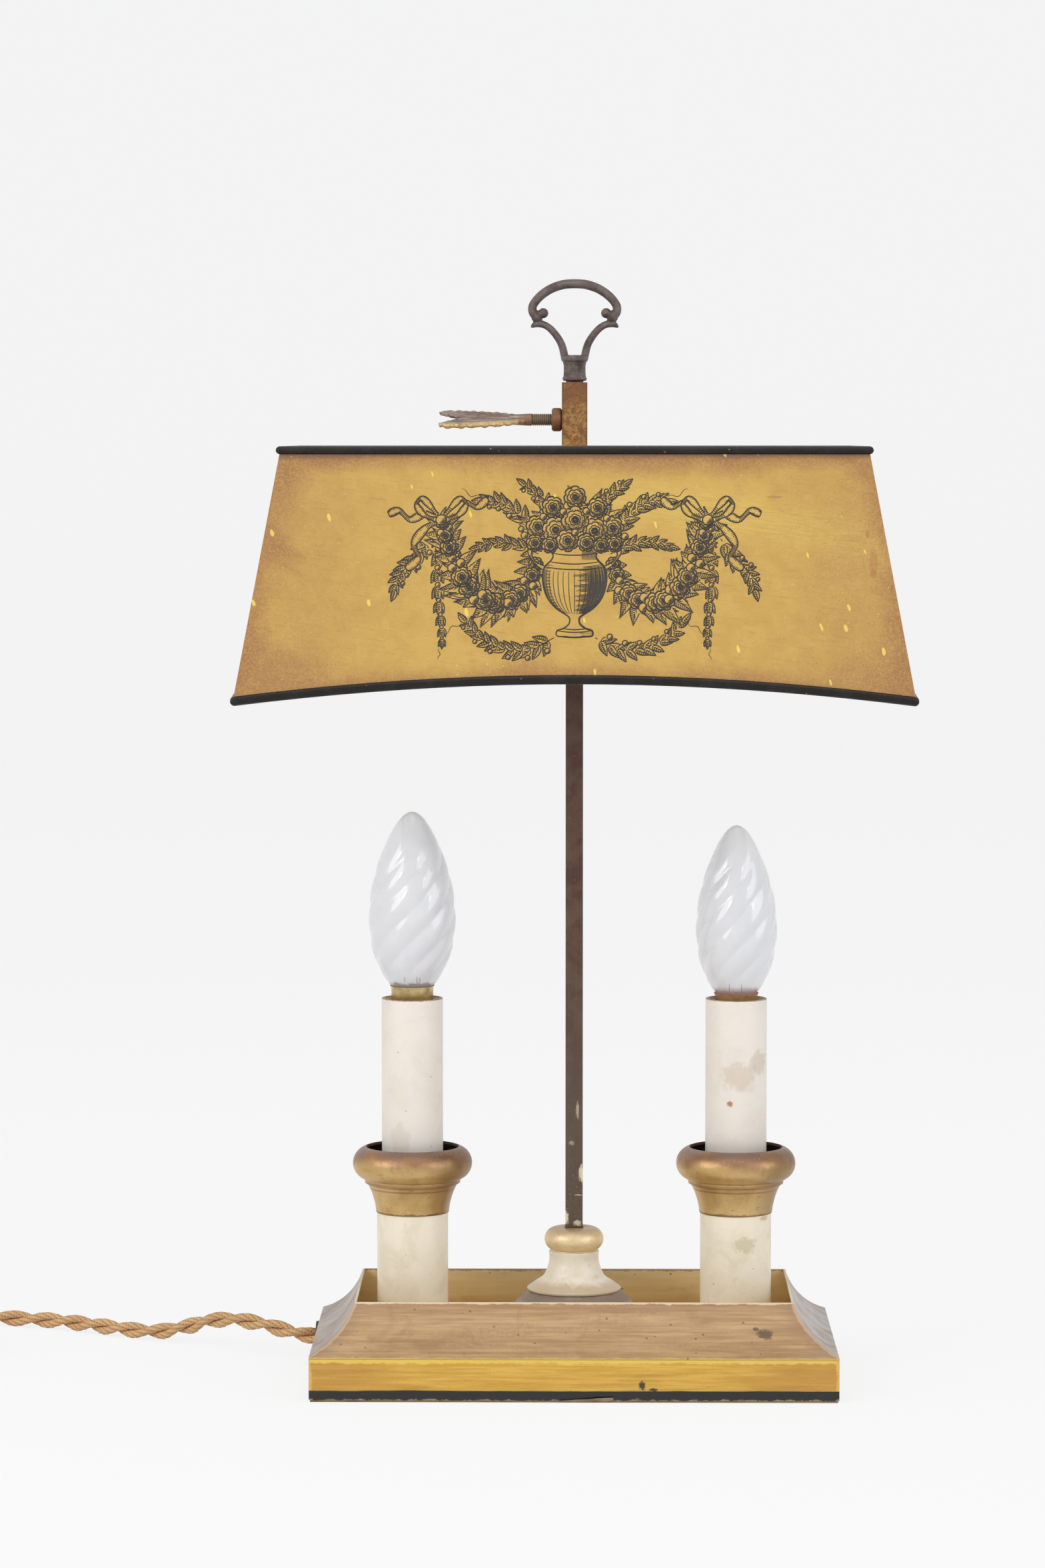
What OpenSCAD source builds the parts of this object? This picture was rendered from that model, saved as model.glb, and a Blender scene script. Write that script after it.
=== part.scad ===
// Bouillotte lamp: two electric candles on a rectangular tray base, with a painted sheet-metal shade
// that slides on a square stem and is held by a leaf-shaped clamp screw.
// Millimetres. +Z is up, +X is to the lamp's right, the front faces -Y. The origin is at the middle of
// the base, on the surface that the lamp stands on.

/* [Base] */
// Width of the base, left to right
base_w = 210; // [190:1:230]
// Depth of the base, front to back
base_d = 117; // [110:1:126]
// Height from the table to the top of the vertical band
band_h = 17; // [16:0.5:20]
// Wall of the vertical band
band_t = 1; // [0.8:0.1:1.4]
// Height of the coved walls above the band
cove_h = 20; // [18:0.5:22]
// How far the coved walls have come in at the rim
cove_in = 17.5; // [15:0.5:19]
// Radius of the hollow of the coved walls
cove_r = 29.5; // [26:0.5:36]
// Sheet of the coved walls
cove_t = 0.9; // [0.7:0.1:1.2]
// Plate of the tray's floor
floor_t = 0.8; // [0.6:0.1:1.2]
// Plate that closes the base underneath
bottom_t = 0.8; // [0.6:0.1:1.2]
// Paper lining glued under the base
lining_t = 0.8; // [0.5:0.1:1.2]
// Width of the iron weight inside the base
weight_w = 176; // [150:1:180]
// Depth of the iron weight
weight_d = 70; // [62:1:72]
// Thickness of the iron weight
weight_t = 5; // [3:0.5:5.5]

/* [Stem] */
// Side of the square stem
stem_s = 7; // [6:0.1:7.6]
// Height of the stem above the tray's floor, to the foot of the ring handle
stem_h = 386.5; // [370:0.5:400]
// Diameter of the stem's threaded ends
tenon_d = 5; // [4:0.5:5.5]
// Length of the stem's upper threaded end
tenon_h = 7; // [5:0.5:8]
// Diameter of the turned dome at the foot of the stem
dome_d = 57; // [50:0.5:62]
// Height of the turned dome
dome_h = 18.4; // [16:0.2:20]
// Diameter of the bell's lip
bell_d = 38.4; // [34:0.2:40]
// Height of the bell
bell_h = 16.1; // [14:0.1:20]
// Diameter of the bell's neck
neck_d = 20; // [17:0.5:22]
// Diameter of the gilt collar
collar_d = 24; // [22:0.5:27]
// Height of the gilt collar
collar_h = 9.5; // [8:0.5:12]

/* [Candles] */
// Distance from the middle of each candle to the end of the base
candle_in = 39.4; // [37:0.2:45]
// Outer diameter of the lower tubes
tube_d = 28.8; // [26:0.2:31]
// Wall of the lower tubes
tube_t = 1.6; // [1:0.1:2.5]
// Height of the lower tubes above the tray's floor
tube_h = 52; // [45:0.5:58]
// Largest diameter of the cups
cup_d = 48.4; // [46:0.2:51]
// Diameter of the mouth of the cups
mouth_d = 37.5; // [36:0.5:39]
// Height of the cups over the shoulder of the lower tubes
cup_h = 25; // [23:0.5:28]
// Radius of the rolled bulge of the cups
bulge_r = 6.85; // [6:0.05:7.2]
// Wall of the cups
cup_t = 1.2; // [0.8:0.1:1.5]
// How far the cups reach down over the lower tubes
skirt_h = 1.8; // [1:0.1:3]
// Outer diameter of the candle sleeves
sleeve_d = 24.8; // [24.4:0.1:26]
// Wall of the candle sleeves
sleeve_t = 1.6; // [1:0.1:1.8]
// Length of the candle sleeves
sleeve_h = 84.3; // [78:0.5:90]
// Diameter of the lampholders
holder_d = 20.4; // [19.6:0.2:20.6]
// Length of the lampholders' bodies
holder_h = 44; // [36:0.5:50]
// Height of the left lampholder's top above the floor of its cup
seat_left = 82.3; // [80:0.1:84]
// Height of the right lampholder's top above the floor of its cup
seat_right = 79.1; // [77:0.1:82]
// Diameter of the threaded tubes that hold the candles together
nipple_d = 10; // [9:0.5:11]
// Width across the flats of the threaded tubes' nuts
nut_w = 14; // [13:0.5:16]
// Thickness of the nuts
nut_h = 3; // [2.5:0.5:3.5]

/* [Bulbs] */
// Diameter of the left bulb's glass
glass_left_d = 35.3; // [30:0.1:38]
// Length of the left bulb's glass above its cap
glass_left_h = 70.2; // [64:0.2:72]
// Diameter of the right bulb's glass
glass_right_d = 32.9; // [30:0.1:38]
// Length of the right bulb's glass above its cap
glass_right_h = 68; // [64:0.2:72]
// Wall of the glass
glass_t = 0.8; // [0.5:0.1:1.2]
// Diameter of the plain part of the bulb caps
cap_d = 17; // [16.6:0.1:17.4]
// Height of the plain part of the bulb caps
cap_h = 7; // [6:0.5:8]
// Diameter over the crests of the bulb caps' thread
thread_d = 13.8; // [13.4:0.1:14]
// Length of the bulb caps' thread
thread_h = 14.1; // [12:0.1:16]
// Rise of the bulb caps' thread in one turn
thread_pitch = 2.82; // [2.6:0.02:3]

/* [Shade] */
// Height of the shade's top edge above the table, pushed up to its stop
shade_top_z = 377.5; // [366:0.5:380]
// Height from the shade's corners to its top edge
shade_h = 100.7; // [90:0.1:110]
// Width of the shade at its top, over the beads
shade_top_w = 233.7; // [220:0.1:245]
// Width of the shade at its corners below, over the beads
shade_low_w = 267.6; // [255:0.1:280]
// Depth of the shade at its top, over the beads
shade_top_d = 117; // [105:0.5:130]
// Depth of the shade at its corners below, over the beads
shade_low_d = 155; // [140:0.5:170]
// Rise of the lower edge in the middle of the front and back
arch_front = 8.4; // [4:0.1:14]
// Rise of the lower edge in the middle of the two ends
arch_side = 3.6; // [0:0.1:8]
// Sheet of the shade
shade_t = 0.6; // [0.4:0.1:1]
// Width of the beads along the shade's edges
bead_w = 3.4; // [2.4:0.1:4.4]
// Height of the lower bead
bead_low_h = 3.7; // [3:0.1:5]
// Height of the upper bead
bead_top_h = 3.2; // [2.6:0.1:4]
// Width of the cross bars inside the shade
bar_w = 14; // [12:0.5:18]
// Thickness of the cross bars
bar_t = 1.6; // [1:0.1:2.5]
// Drop of the cross bars below the shade's top edge
bar_drop = 5; // [4.6:0.1:9]

/* [Slider and clamp] */
// Outer side of the square tube that slides on the stem
slider_s = 10.2; // [9.8:0.1:11]
// Height of the slider above the shade's top edge
slider_up = 25.4; // [20:0.1:25.8]
// Length of the slider below the cross bars
slider_down = 18; // [8:0.5:40]
// Play of the slider round the stem, on each side
slider_play = 0.15; // [0.1:0.01:0.2]
// Height of the clamp screw above the shade's top edge
clamp_up = 10.5; // [9.6:0.1:14]
// Diameter of the clamp screw's boss
boss_d = 9.4; // [8:0.1:11]
// Length of the boss
boss_l = 4.1; // [3:0.1:6]
// Diameter of the clamp screw
screw_d = 5; // [4:0.1:5.2]
// Rise of the clamp screw's thread in one turn
screw_pitch = 0.8; // [0.7:0.05:1]
// Thread that shows between the boss and the leaf
screw_out = 7.9; // [5:0.1:12]
// Length of the leaf key
leaf_l = 37.7; // [30:0.1:44]
// Width of the leaf key
leaf_w = 15; // [12:0.1:16]
// Thickness of the leaf key
leaf_t = 1.5; // [1:0.1:2.2]
// Turn of the leaf key about the screw when it is tight
leaf_turn = 22; // [0:1:30]

/* [Ring handle] */
// Width over the ring
ring_w = 37.7; // [34:0.1:42]
// Height of the ring handle above the stem's shoulder
ring_h = 40.8; // [38:0.1:44]
// Thickness of the ring's rod
ring_rod = 3.8; // [3:0.1:4.2]
// Diameter of the handle's foot
foot_d = 10.7; // [9:0.1:12]
// Height of the handle's foot
foot_h = 10.2; // [9:0.1:11]

/* [Cord] */
// Diameter of the twisted cord
cord_d = 7; // [6.6:0.1:7.2]
// Height of the cord's hole above the table
exit_z = 9; // [8.6:0.1:9.4]
// Distance of the cord's hole behind the middle of the base
exit_y = 40; // [38:0.5:41]
// Mean diameter of the coil that the spare cord is wound into
coil_mean_d = 84; // [80:1:84]

/* [Hidden] */

fit = 0.1;       // clearance round what is pushed through a hole
run_fit = 0.08;  // clearance round a turning screw
gap = 0.3;       // clearance of curved faces
$fn = 48;

// Levels
floor_z = band_h;
candle_x = base_w / 2 - candle_in;
deck_z = lining_t + bottom_t;
weight_z = deck_z + weight_t;
stem_z = floor_z + stem_h;
tube_z = floor_z + tube_h;
cup_z = tube_z + cup_t;
bar_z = shade_top_z - bar_drop;
clamp_z = shade_top_z + clamp_up;

function unit(v) = v / norm(v);
function arc(c, r, a0, a1, n) = [for (i = [0:n]) let (a = a0 + (a1 - a0) * i / n) c + r * [cos(a), sin(a)]];

// A smooth curve through the points p, with m steps between neighbours
function on_curve(a, b, c, d, t) =
    0.5 * (2 * b + (c - a) * t + (2 * a - 5 * b + 4 * c - d) * t * t + (3 * b - a - 3 * c + d) * t * t * t);
function smooth(p, m) = let (n = len(p) - 1)
    [for (i = [0:n - 1]) for (k = [0:m - 1])
        on_curve(p[max(i - 1, 0)], p[i], p[i + 1], p[min(i + 2, n)], k / m), p[n]];

// A closed solid through rings of equally many points, with flat ends or joined end to end
module skin(rings, joined = false) {
    n = len(rings);
    m = len(rings[0]);
    last = joined ? n - 1 : n - 2;
    sides = [for (i = [0:last]) for (j = [0:m - 1])
        let (a = i * m + j, b = i * m + (j + 1) % m, k = (i + 1) % n, c = k * m + j, d = k * m + (j + 1) % m)
        each [[a, b, d], [a, d, c]]];
    ends = joined ? [] : [[for (j = [m - 1:-1:0]) j], [for (j = [0:m - 1]) (n - 1) * m + j]];
    polyhedron([for (r = rings) each r], concat(sides, ends), convexity = 6);
}

// A round rod along the points p. r is its radius, or one radius for each point
module rod(p, r, sides = 8, up = [0, 0, 1]) {
    n = len(p) - 1;
    skin([for (i = [0:n])
        let (t = unit(p[min(i + 1, n)] - p[max(i - 1, 0)]), x = unit(cross(t, up)), y = cross(x, t),
            s = is_list(r) ? r[i] : r)
        [for (j = [0:sides - 1]) let (a = 360 * (j + 0.5) / sides) p[i] + s * (cos(a) * x + sin(a) * y)]]);
}

module ring(d, hole, h) {
    difference() {
        cylinder(d = d, h = h);
        translate([0, 0, -1]) cylinder(d = hole, h = h + 2);
    }
}

module square_hole(s, z0, z1) { translate([-s / 2, -s / 2, z0]) cube([s, s, z1 - z0]); }

module at_candle(side) { translate([side * candle_x, 0, 0]) children(); }

// ---- Base ----

bush_hole_d = cord_d + 2.6;
inner_w = base_w - 2 * band_t;
inner_d = base_d - 2 * band_t;
bush_flange = 2;

module base_band() {
    color("goldenrod") difference() {
        translate([-base_w / 2, -base_d / 2, lining_t]) cube([base_w, base_d, band_h - lining_t]);
        translate([-inner_w / 2, -inner_d / 2, 0]) cube([inner_w, inner_d, band_h + 1]);
        translate([-base_w / 2 - 1, exit_y, exit_z]) rotate([0, 90, 0])
            cylinder(d = bush_hole_d, h = band_t + 2);
    }
}

cove_foot = 3;
cove_mitre = cove_in + 6;
cove_chord = [cove_in, cove_h - cove_t];
cove_centre = [0, cove_t] + cove_chord / 2
    + sqrt(cove_r * cove_r - cove_chord * cove_chord / 4) * unit([-cove_chord[1], cove_chord[0]]);

module cove_profile() {
    intersection() {
        translate(cove_centre) difference() {
            circle(cove_r + cove_t, $fn = 200);
            circle(cove_r, $fn = 200);
        }
        square([cove_in + 4 * cove_t, cove_h]);
    }
    square([cove_foot, cove_t]);
}

// One coved wall along a side of length w, whose outer face is d / 2 in front of the middle
module cove(w, d) {
    color("peru") intersection() {
        translate([0, -d / 2, band_h]) rotate([90, 0, 90]) linear_extrude(w, center = true) cove_profile();
        translate([0, 0, band_h - 1]) linear_extrude(cove_h + 2) polygon([[-w / 2, -d / 2], [w / 2, -d / 2],
            [w / 2 - cove_mitre, cove_mitre - d / 2], [cove_mitre - w / 2, cove_mitre - d / 2]]);
    }
}

module cove_front() { cove(base_w, base_d); }
module cove_back() { rotate(180) cove(base_w, base_d); }
module cove_left() { rotate(-90) cove(base_d, base_w); }
module cove_right() { rotate(90) cove(base_d, base_w); }

module tray_floor() {
    color("olive") difference() {
        translate([-inner_w / 2, -inner_d / 2, floor_z - floor_t]) cube([inner_w, inner_d, floor_t]);
        for (side = [-1, 1]) at_candle(side) cylinder(d = nipple_d + 2 * fit, h = floor_z + 1);
        cylinder(d = tenon_d + 2 * fit, h = floor_z + 1);
    }
}

module bottom_plate() {
    color("dimgray") translate([-inner_w / 2, -inner_d / 2, lining_t]) cube([inner_w, inner_d, bottom_t]);
}

lining_in = 0.5;
module lining() {
    color("darkkhaki") translate([lining_in - base_w / 2, lining_in - base_d / 2, 0])
        cube([base_w - 2 * lining_in, base_d - 2 * lining_in, lining_t]);
}

module weight() {
    color("dimgray") translate([-weight_w / 2, -weight_d / 2, deck_z]) cube([weight_w, weight_d, weight_t]);
}

module cord_bushing() {
    hole = cord_d + 2 * fit;
    color("saddlebrown") translate([-base_w / 2, exit_y, exit_z]) rotate([0, 90, 0]) difference() {
        union() {
            translate([0, 0, -bush_flange]) cylinder(d = bush_hole_d + 2.4, h = bush_flange);
            cylinder(d = bush_hole_d - 2 * fit, h = band_t);
            translate([0, 0, band_t]) cylinder(d = bush_hole_d + 2.4, h = 1.5);
        }
        translate([0, 0, -bush_flange - 1]) cylinder(d = hole, h = bush_flange + band_t + 4);
    }
}

block_at = [-26, 24];
block_size = [14, 20, 7];
module terminal_block() {
    color("ivory") difference() {
        translate([block_at[0] - block_size[0] / 2, block_at[1] - block_size[1] / 2, weight_z])
            cube(block_size);
        for (y = [-5, 5]) translate([block_at[0], block_at[1] + y, weight_z + block_size[2] / 2])
            cylinder(d = 3.4, h = block_size[2]);
    }
}

// ---- Stem ----

stem_nut_w = tenon_d + 4;
stem_nut_h = 3.5;
washer_t = 1;

module stem() {
    color("saddlebrown") {
        square_hole(stem_s, floor_z, stem_z);
        low = floor_z - floor_t - washer_t - stem_nut_h - 1;
        translate([0, 0, low]) cylinder(d = tenon_d, h = floor_z - low);
        translate([0, 0, stem_z]) cylinder(d = tenon_d, h = tenon_h);
    }
}

// A hexagon nut on a washer, hanging from the level z
module hung_nut(w, h, hole, z) {
    translate([0, 0, z - washer_t]) ring(w + 4, hole, washer_t);
    translate([0, 0, z - washer_t - h]) difference() {
        cylinder(d = w / cos(30), h = h, $fn = 6);
        translate([0, 0, -1]) cylinder(d = hole, h = h + 2, $fn = 48);
    }
}

module under_floor_nuts() {
    color("darkgoldenrod") {
        hung_nut(stem_nut_w, stem_nut_h, tenon_d + 2 * fit, floor_z - floor_t);
        for (side = [-1, 1]) at_candle(side) hung_nut(nut_w, nut_h, nipple_d + 2 * fit, floor_z - floor_t);
    }
}

stem_hole = stem_s + 2 * fit;
dome_oval_h = 24;
dome_top_z = floor_z + dome_h;
bell_top_z = dome_top_z + bell_h;

module stem_dome() {
    a1 = asin(dome_h / dome_oval_h);
    color("darkgray") difference() {
        rotate_extrude() polygon(concat([[0, floor_z]],
            [for (i = [0:14]) let (a = a1 * i / 14) [dome_d / 2 * cos(a), floor_z + dome_oval_h * sin(a)]],
            [[0, dome_top_z]]));
        square_hole(stem_hole, floor_z - 1, dome_top_z + 1);
    }
}

module stem_bell() {
    lip = 0.9;
    waist_z = dome_top_z + 0.8 * bell_h;
    side = smooth([[bell_d / 2, dome_top_z + lip], [bell_d / 2 * 0.83, dome_top_z + 0.2 * bell_h],
        [bell_d / 2 * 0.65, dome_top_z + 0.35 * bell_h], [neck_d / 2 * 1.06, dome_top_z + 0.6 * bell_h],
        [neck_d / 2, waist_z], [neck_d / 2 * 1.02, bell_top_z]], 4);
    color("wheat") difference() {
        rotate_extrude()
            polygon(concat([[0, dome_top_z], [bell_d / 2 - 0.4, dome_top_z]], side, [[0, bell_top_z]]));
        square_hole(stem_hole, dome_top_z - 1, bell_top_z + 1);
    }
}

module stem_collar() {
    roll = collar_h / 2;
    top = bell_top_z + collar_h;
    color("darkgoldenrod") difference() {
        rotate_extrude() polygon(concat([[0, bell_top_z], [collar_d / 2 - roll * 0.6, bell_top_z]],
            [for (i = [0:12]) let (a = -70 + 145 * i / 12)
                [collar_d / 2 - roll * (1 - cos(a)), bell_top_z + roll * (1 + sin(a))]],
            [[stem_s * 0.9, top], [0, top]]));
        square_hole(stem_hole, bell_top_z - 1, top + 1);
    }
}

// ---- Candles ----

module candle_tube(side) {
    color("antiquewhite") at_candle(side) translate([0, 0, floor_z])
        ring(tube_d, tube_d - 2 * tube_t, tube_h);
}

// The rolled bulge of a cup, as the section of the cup's wall
mouth_in = mouth_d / 2 - cup_d / 2 + bulge_r;
bulge_at = [cup_d / 2 - bulge_r, tube_z + cup_h - sqrt(bulge_r * bulge_r - mouth_in * mouth_in)];
bulge_a = acos((mouth_d / 2 - bulge_at[0]) / bulge_r);
cup_neck = [tube_d / 2 + 0.35, tube_z - skirt_h];
cup_step = bulge_at + bulge_r * [cos(-72), sin(-72)];

module cup(side) {
    bead = cup_step - [0.2, 1.6];
    flare = smooth([cup_neck, [cup_neck[0] + 0.5, cup_neck[1] + 3.5], [cup_neck[0] + 1.8, cup_neck[1] + 8],
        bead - [0.9, 0.2], bead], 3);
    outer = concat(flare, arc(bulge_at, bulge_r, -72, bulge_a, 20));
    inner = concat(arc(bulge_at, bulge_r - cup_t, bulge_a, -74, 16),
        [[cup_neck[0] + 0.6 - cup_t / 2, cup_z]]);
    color("darkgoldenrod") at_candle(side) difference() {
        rotate_extrude() polygon(concat([[tube_d / 2 + fit, cup_neck[1]]], outer, inner,
            [[0, cup_z], [0, tube_z], [tube_d / 2 + fit, tube_z]]));
        translate([0, 0, tube_z - 1]) cylinder(d = nipple_d + 2 * fit, h = cup_t + 2);
    }
}

module sleeve(side) {
    color("linen") at_candle(side) translate([0, 0, cup_z]) ring(sleeve_d, sleeve_d - 2 * sleeve_t, sleeve_h);
}

nipple_up = 9;
module nipples() {
    low = floor_z - floor_t - washer_t - nut_h - 1;
    color("darkgoldenrod") for (side = [-1, 1]) at_candle(side)
        translate([0, 0, low]) ring(nipple_d, nipple_d - 3, cup_z + nipple_up - low);
}

// The nut in each cup clamps the cup on its tube
module cup_nuts() {
    color("darkgoldenrod") for (side = [-1, 1]) at_candle(side) translate([0, 0, cup_z]) difference() {
        cylinder(d = nut_w / cos(30), h = nut_h, $fn = 6);
        translate([0, 0, -1]) cylinder(d = nipple_d + 2 * fit, h = nut_h + 2, $fn = 48);
    }
}

function seat_z(side) = cup_z + (side < 0 ? seat_left : seat_right);
function glass_d(side) = side < 0 ? glass_left_d : glass_right_d;
function glass_h(side) = side < 0 ? glass_left_h : glass_right_h;

// The strip that stands on the nut and carries the lampholder
bracket_w = 6;
bracket_t = 1;
module holder_brackets() {
    low = cup_z + nut_h;
    color("silver") for (side = [-1, 1]) at_candle(side) {
        top = seat_z(side) - holder_h;
        leg = holder_d / 2 - bracket_t;
        difference() {
            translate([-holder_d / 2, -bracket_w / 2, low]) cube([holder_d, bracket_w, bracket_t]);
            translate([0, 0, low - 1]) cylinder(d = nipple_d + 2 * fit, h = bracket_t + 2);
        }
        for (x = [-1, 1])
            translate([x * (leg + bracket_t / 2) - bracket_t / 2, -bracket_w / 2, low + bracket_t])
                cube([bracket_t, bracket_w, top - low - bracket_t]);
    }
}

shell_d = thread_d + 2 * gap + 0.8;
shell_drop = 1.5;
module holder_body(side) {
    top = seat_z(side);
    depth = thread_h + 5;
    color("saddlebrown") at_candle(side) difference() {
        translate([0, 0, top - holder_h]) cylinder(d = holder_d, h = holder_h);
        translate([0, 0, top - depth]) cylinder(d = shell_d + 2 * fit, h = depth + 1);
        translate([0, 0, top - holder_h - 1]) cylinder(d = 8, h = holder_h - depth - 1);
    }
}

module screw_shells() {
    color("gold") for (side = [-1, 1]) at_candle(side)
        translate([0, 0, seat_z(side) - thread_h - 5])
            ring(shell_d, shell_d - 0.8, thread_h + 5 - shell_drop);
}

contact_h = 2.4;
function contact_z(side) = seat_z(side) + seat_gap - thread_h - contact_h;
seat_gap = 0.4;
module centre_contacts() {
    color("gold") for (side = [-1, 1]) at_candle(side) {
        low = seat_z(side) - thread_h - 5;
        translate([-1.5, -2.5, low]) cube([3, 5, contact_z(side) - 0.1 - low]);
    }
}

module inner_leads() {
    start = [block_at[0], block_at[1], weight_z + block_size[2] / 2];
    nut_low = floor_z - floor_t - washer_t - nut_h - 1;
    color("peru") {
        for (side = [-1, 1]) {
            end = [side * candle_x, 0, 0];
            exit = start + [side * (block_size[0] / 2 + gap), 0, 0];
            reach = end[0] - exit[0];
            rod(smooth([exit, exit + [reach * 0.08, 0, 0], exit + [reach * 0.16, 0, 0],
                exit + [reach * 0.38, -start[1] * 0.17, -1.5], exit + [reach * 0.62, -start[1] * 0.42, -1.5],
                end + [-side * 8, 6, weight_z + 2], end + [-side * 2.4, 2, nut_low - 1],
                end + [0, 0, nut_low + 6], end + [0, 0, floor_z + 15], end + [0, 0, tube_z],
                end + [0, 0, seat_z(side) - holder_h - 1]], 3), 1.2, up = [0, 1, 0.01]);
        }
        back = start + [0, block_size[1] / 2 + gap, 0];
        out = [gap - base_w / 2 - bush_flange, exit_y, exit_z];
        rod(smooth([back, back + [0, 3.5, 0], back + [0, 7, 0], back + [-1.9, 11.6, 0],
            back + [-6.5, 13.5, 0], back + [-13, 13, 0], back + [-27, 9.5, -0.2], out + [34, 1.4, 0.3],
            out + [20, 0, 0], out + [10, 0, 0], out], 3), cord_d / 2 - fit);
    }
}

// ---- Bulbs ----

// Radius of the glass, as a share of its largest, at shares of its length
glass_shape = [[0, 0.50], [0.03, 0.60], [0.09, 0.745], [0.16, 0.865], [0.24, 0.95], [0.36, 1], [0.47, 0.985],
    [0.62, 0.885], [0.77, 0.685], [0.88, 0.48], [0.955, 0.28], [0.99, 0.12], [1, 0]];
cap_wall = 0.4;
neck_in = 4;

module bulb_glass(side) {
    r = glass_d(side) / 2;
    h = glass_h(side);
    z = seat_z(side) + seat_gap + cap_h;
    outer = smooth([for (p = glass_shape) [r * p[1], z + h * p[0]]], 3);
    inner = [for (i = [len(outer) - 1:-1:0]) let (p = outer[i])
        [max(p[0] - glass_t, 0), min(p[1], z + h - glass_t)]];
    neck_r = cap_d / 2 - cap_wall - fit;
    color("azure") at_candle(side) rotate_extrude() polygon(concat(
        [[neck_r - glass_t, z - neck_in], [neck_r, z - neck_in], [neck_r, z - 0.1]], outer,
        [for (p = inner) if (p[0] > 0 || p[1] == z + h - glass_t) p], [[neck_r - glass_t, z]]));
}

module bulb_cap(side) {
    z = seat_z(side) + seat_gap;
    r = cap_d / 2;
    crest = thread_d / 2;
    turns = floor(thread_h / thread_pitch + 0.01);
    ridges = [for (i = [0:turns - 1]) for (k = [0:3])
        [crest - 0.4 + 0.4 * cos(90 * k + 180), z - thread_h + (i + k / 4) * thread_pitch]];
    inner = crest - 1.4;
    color("darkgoldenrod") at_candle(side) rotate_extrude() polygon(concat(
        [[inner, z - thread_h]], ridges,
        [[crest - 0.8, z - thread_h + turns * thread_pitch], [crest - 0.8, z], [r, z], [r, z + cap_h - 1.6],
        [r + 0.45, z + cap_h], [r + 0.05, z + cap_h], [r - cap_wall, z + cap_h - 1.6],
        [r - cap_wall, z + 0.6], [inner, z + 0.6]]));
}

module bulb_contact(side) {
    z = contact_z(side);
    r = thread_d / 2 - 1;
    color("dimgray") at_candle(side) rotate_extrude() polygon([[0, z], [1.6, z], [2.2, z + 0.9],
        [4.2, z + 1.1], [r, z + contact_h], [0, z + contact_h]]);
}

module bulb_mount(side) {
    z = seat_z(side) + seat_gap;
    stem_top = z + cap_h + 12;
    color("silver") at_candle(side) {
        translate([0, 0, z + 1])
            cylinder(r1 = cap_d / 2 - cap_wall - glass_t - 2 * fit, r2 = 3.4, h = cap_h + 1);
        translate([0, 0, z + cap_h + 2]) cylinder(d = 5, h = stem_top - z - cap_h - 2);
        for (x = [-1, 1])
            rod([[x * 1.6, 0, stem_top - 0.5], [x * 2.6, 0, stem_top + 6], [x * 5, 0, stem_top + 12]], 0.4,
                sides = 6, up = [0, 1, 0]);
        rod(smooth([[-5, 0, stem_top + 11.6], [-2.5, 1.5, stem_top + 13.5], [0, 2, stem_top + 14],
            [2.5, 1.5, stem_top + 13.5], [5, 0, stem_top + 11.6]], 2), 0.4, sides = 6);
        translate([0, 0, z]) cylinder(d = 1, h = 1.2);
    }
}

// ---- Shade ----

bead_out = bead_w / 2 - shade_t / 2;
panel_top = shade_top_z - bead_top_h;
panel_low = shade_top_z - shade_h + bead_low_h;
function between(z, low, top) = low / 2 - bead_out
    + (top - low) / 2 * (z - panel_low) / (panel_top - panel_low);
function half_w(z) = between(z, shade_low_w, shade_top_w);
function half_d(z) = between(z, shade_low_d, shade_top_d);

// A point of the shade's skin on a side (0 front, 1 right, 2 back, 3 left), at the share u of the
// half width, z high and out from the outer face
function shade_point(side, u, z, out, up = 0) = let (x = half_w(z) + out, y = half_d(z) + out)
    side == 0 ? [u * x, -y, z + up] : side == 1 ? [x, u * y, z + up] :
    side == 2 ? [-u * x, y, z + up] : [-x, -u * y, z + up];
function low_edge(side, u) = panel_low + (side % 2 == 0 ? arch_front : arch_side) * (1 - u * u);
function steps(side) = side % 2 == 0 ? 20 : 10;

module panel(side) {
    n = steps(side);
    color("goldenrod") skin([for (i = [0:n]) let (u = 2 * i / n - 1, low = low_edge(side, u))
        [shade_point(side, u, low, 0), shade_point(side, u, panel_top, 0),
            shade_point(side, u, panel_top, -shade_t), shade_point(side, u, low, -shade_t)]]);
}

module shade_front() { panel(0); }
module shade_right() { panel(1); }
module shade_back() { panel(2); }
module shade_left() { panel(3); }

// The section of a bead of height h, as [out, up] from the sheet's edge
function bead_section(h, way) = let (a = bead_w / 2, c = bead_w * 0.28)
    [for (p = [[c - a, 0], [a - c, 0], [a, c], [a, h - c], [a - c, h], [c - a, h], [-a, h - c], [-a, c]])
        [p[0] - shade_t / 2, way * p[1]]];

module bottom_bead() {
    color("darkslategray") skin([for (side = [0:3]) for (i = [0:steps(side) - 1])
        let (u = 2 * i / steps(side) - 1, z = low_edge(side, u))
        [for (p = bead_section(bead_low_h, -1)) shade_point(side, u, z, p[0], p[1])]], joined = true);
}

module top_bead() {
    color("darkslategray") skin([for (side = [0:3])
        [for (p = bead_section(bead_top_h, 1)) shade_point(side, -1, panel_top, p[0], p[1])]], joined = true);
}

// One flat bar across the shade, cut at its ends to the slope of the sheets
module cross_bar(low, top) {
    rotate([90, 0, 0]) linear_extrude(bar_w, center = true)
        polygon([[-low, bar_z - bar_t], [low, bar_z - bar_t], [top, bar_z], [-top, bar_z]]);
}

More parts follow.
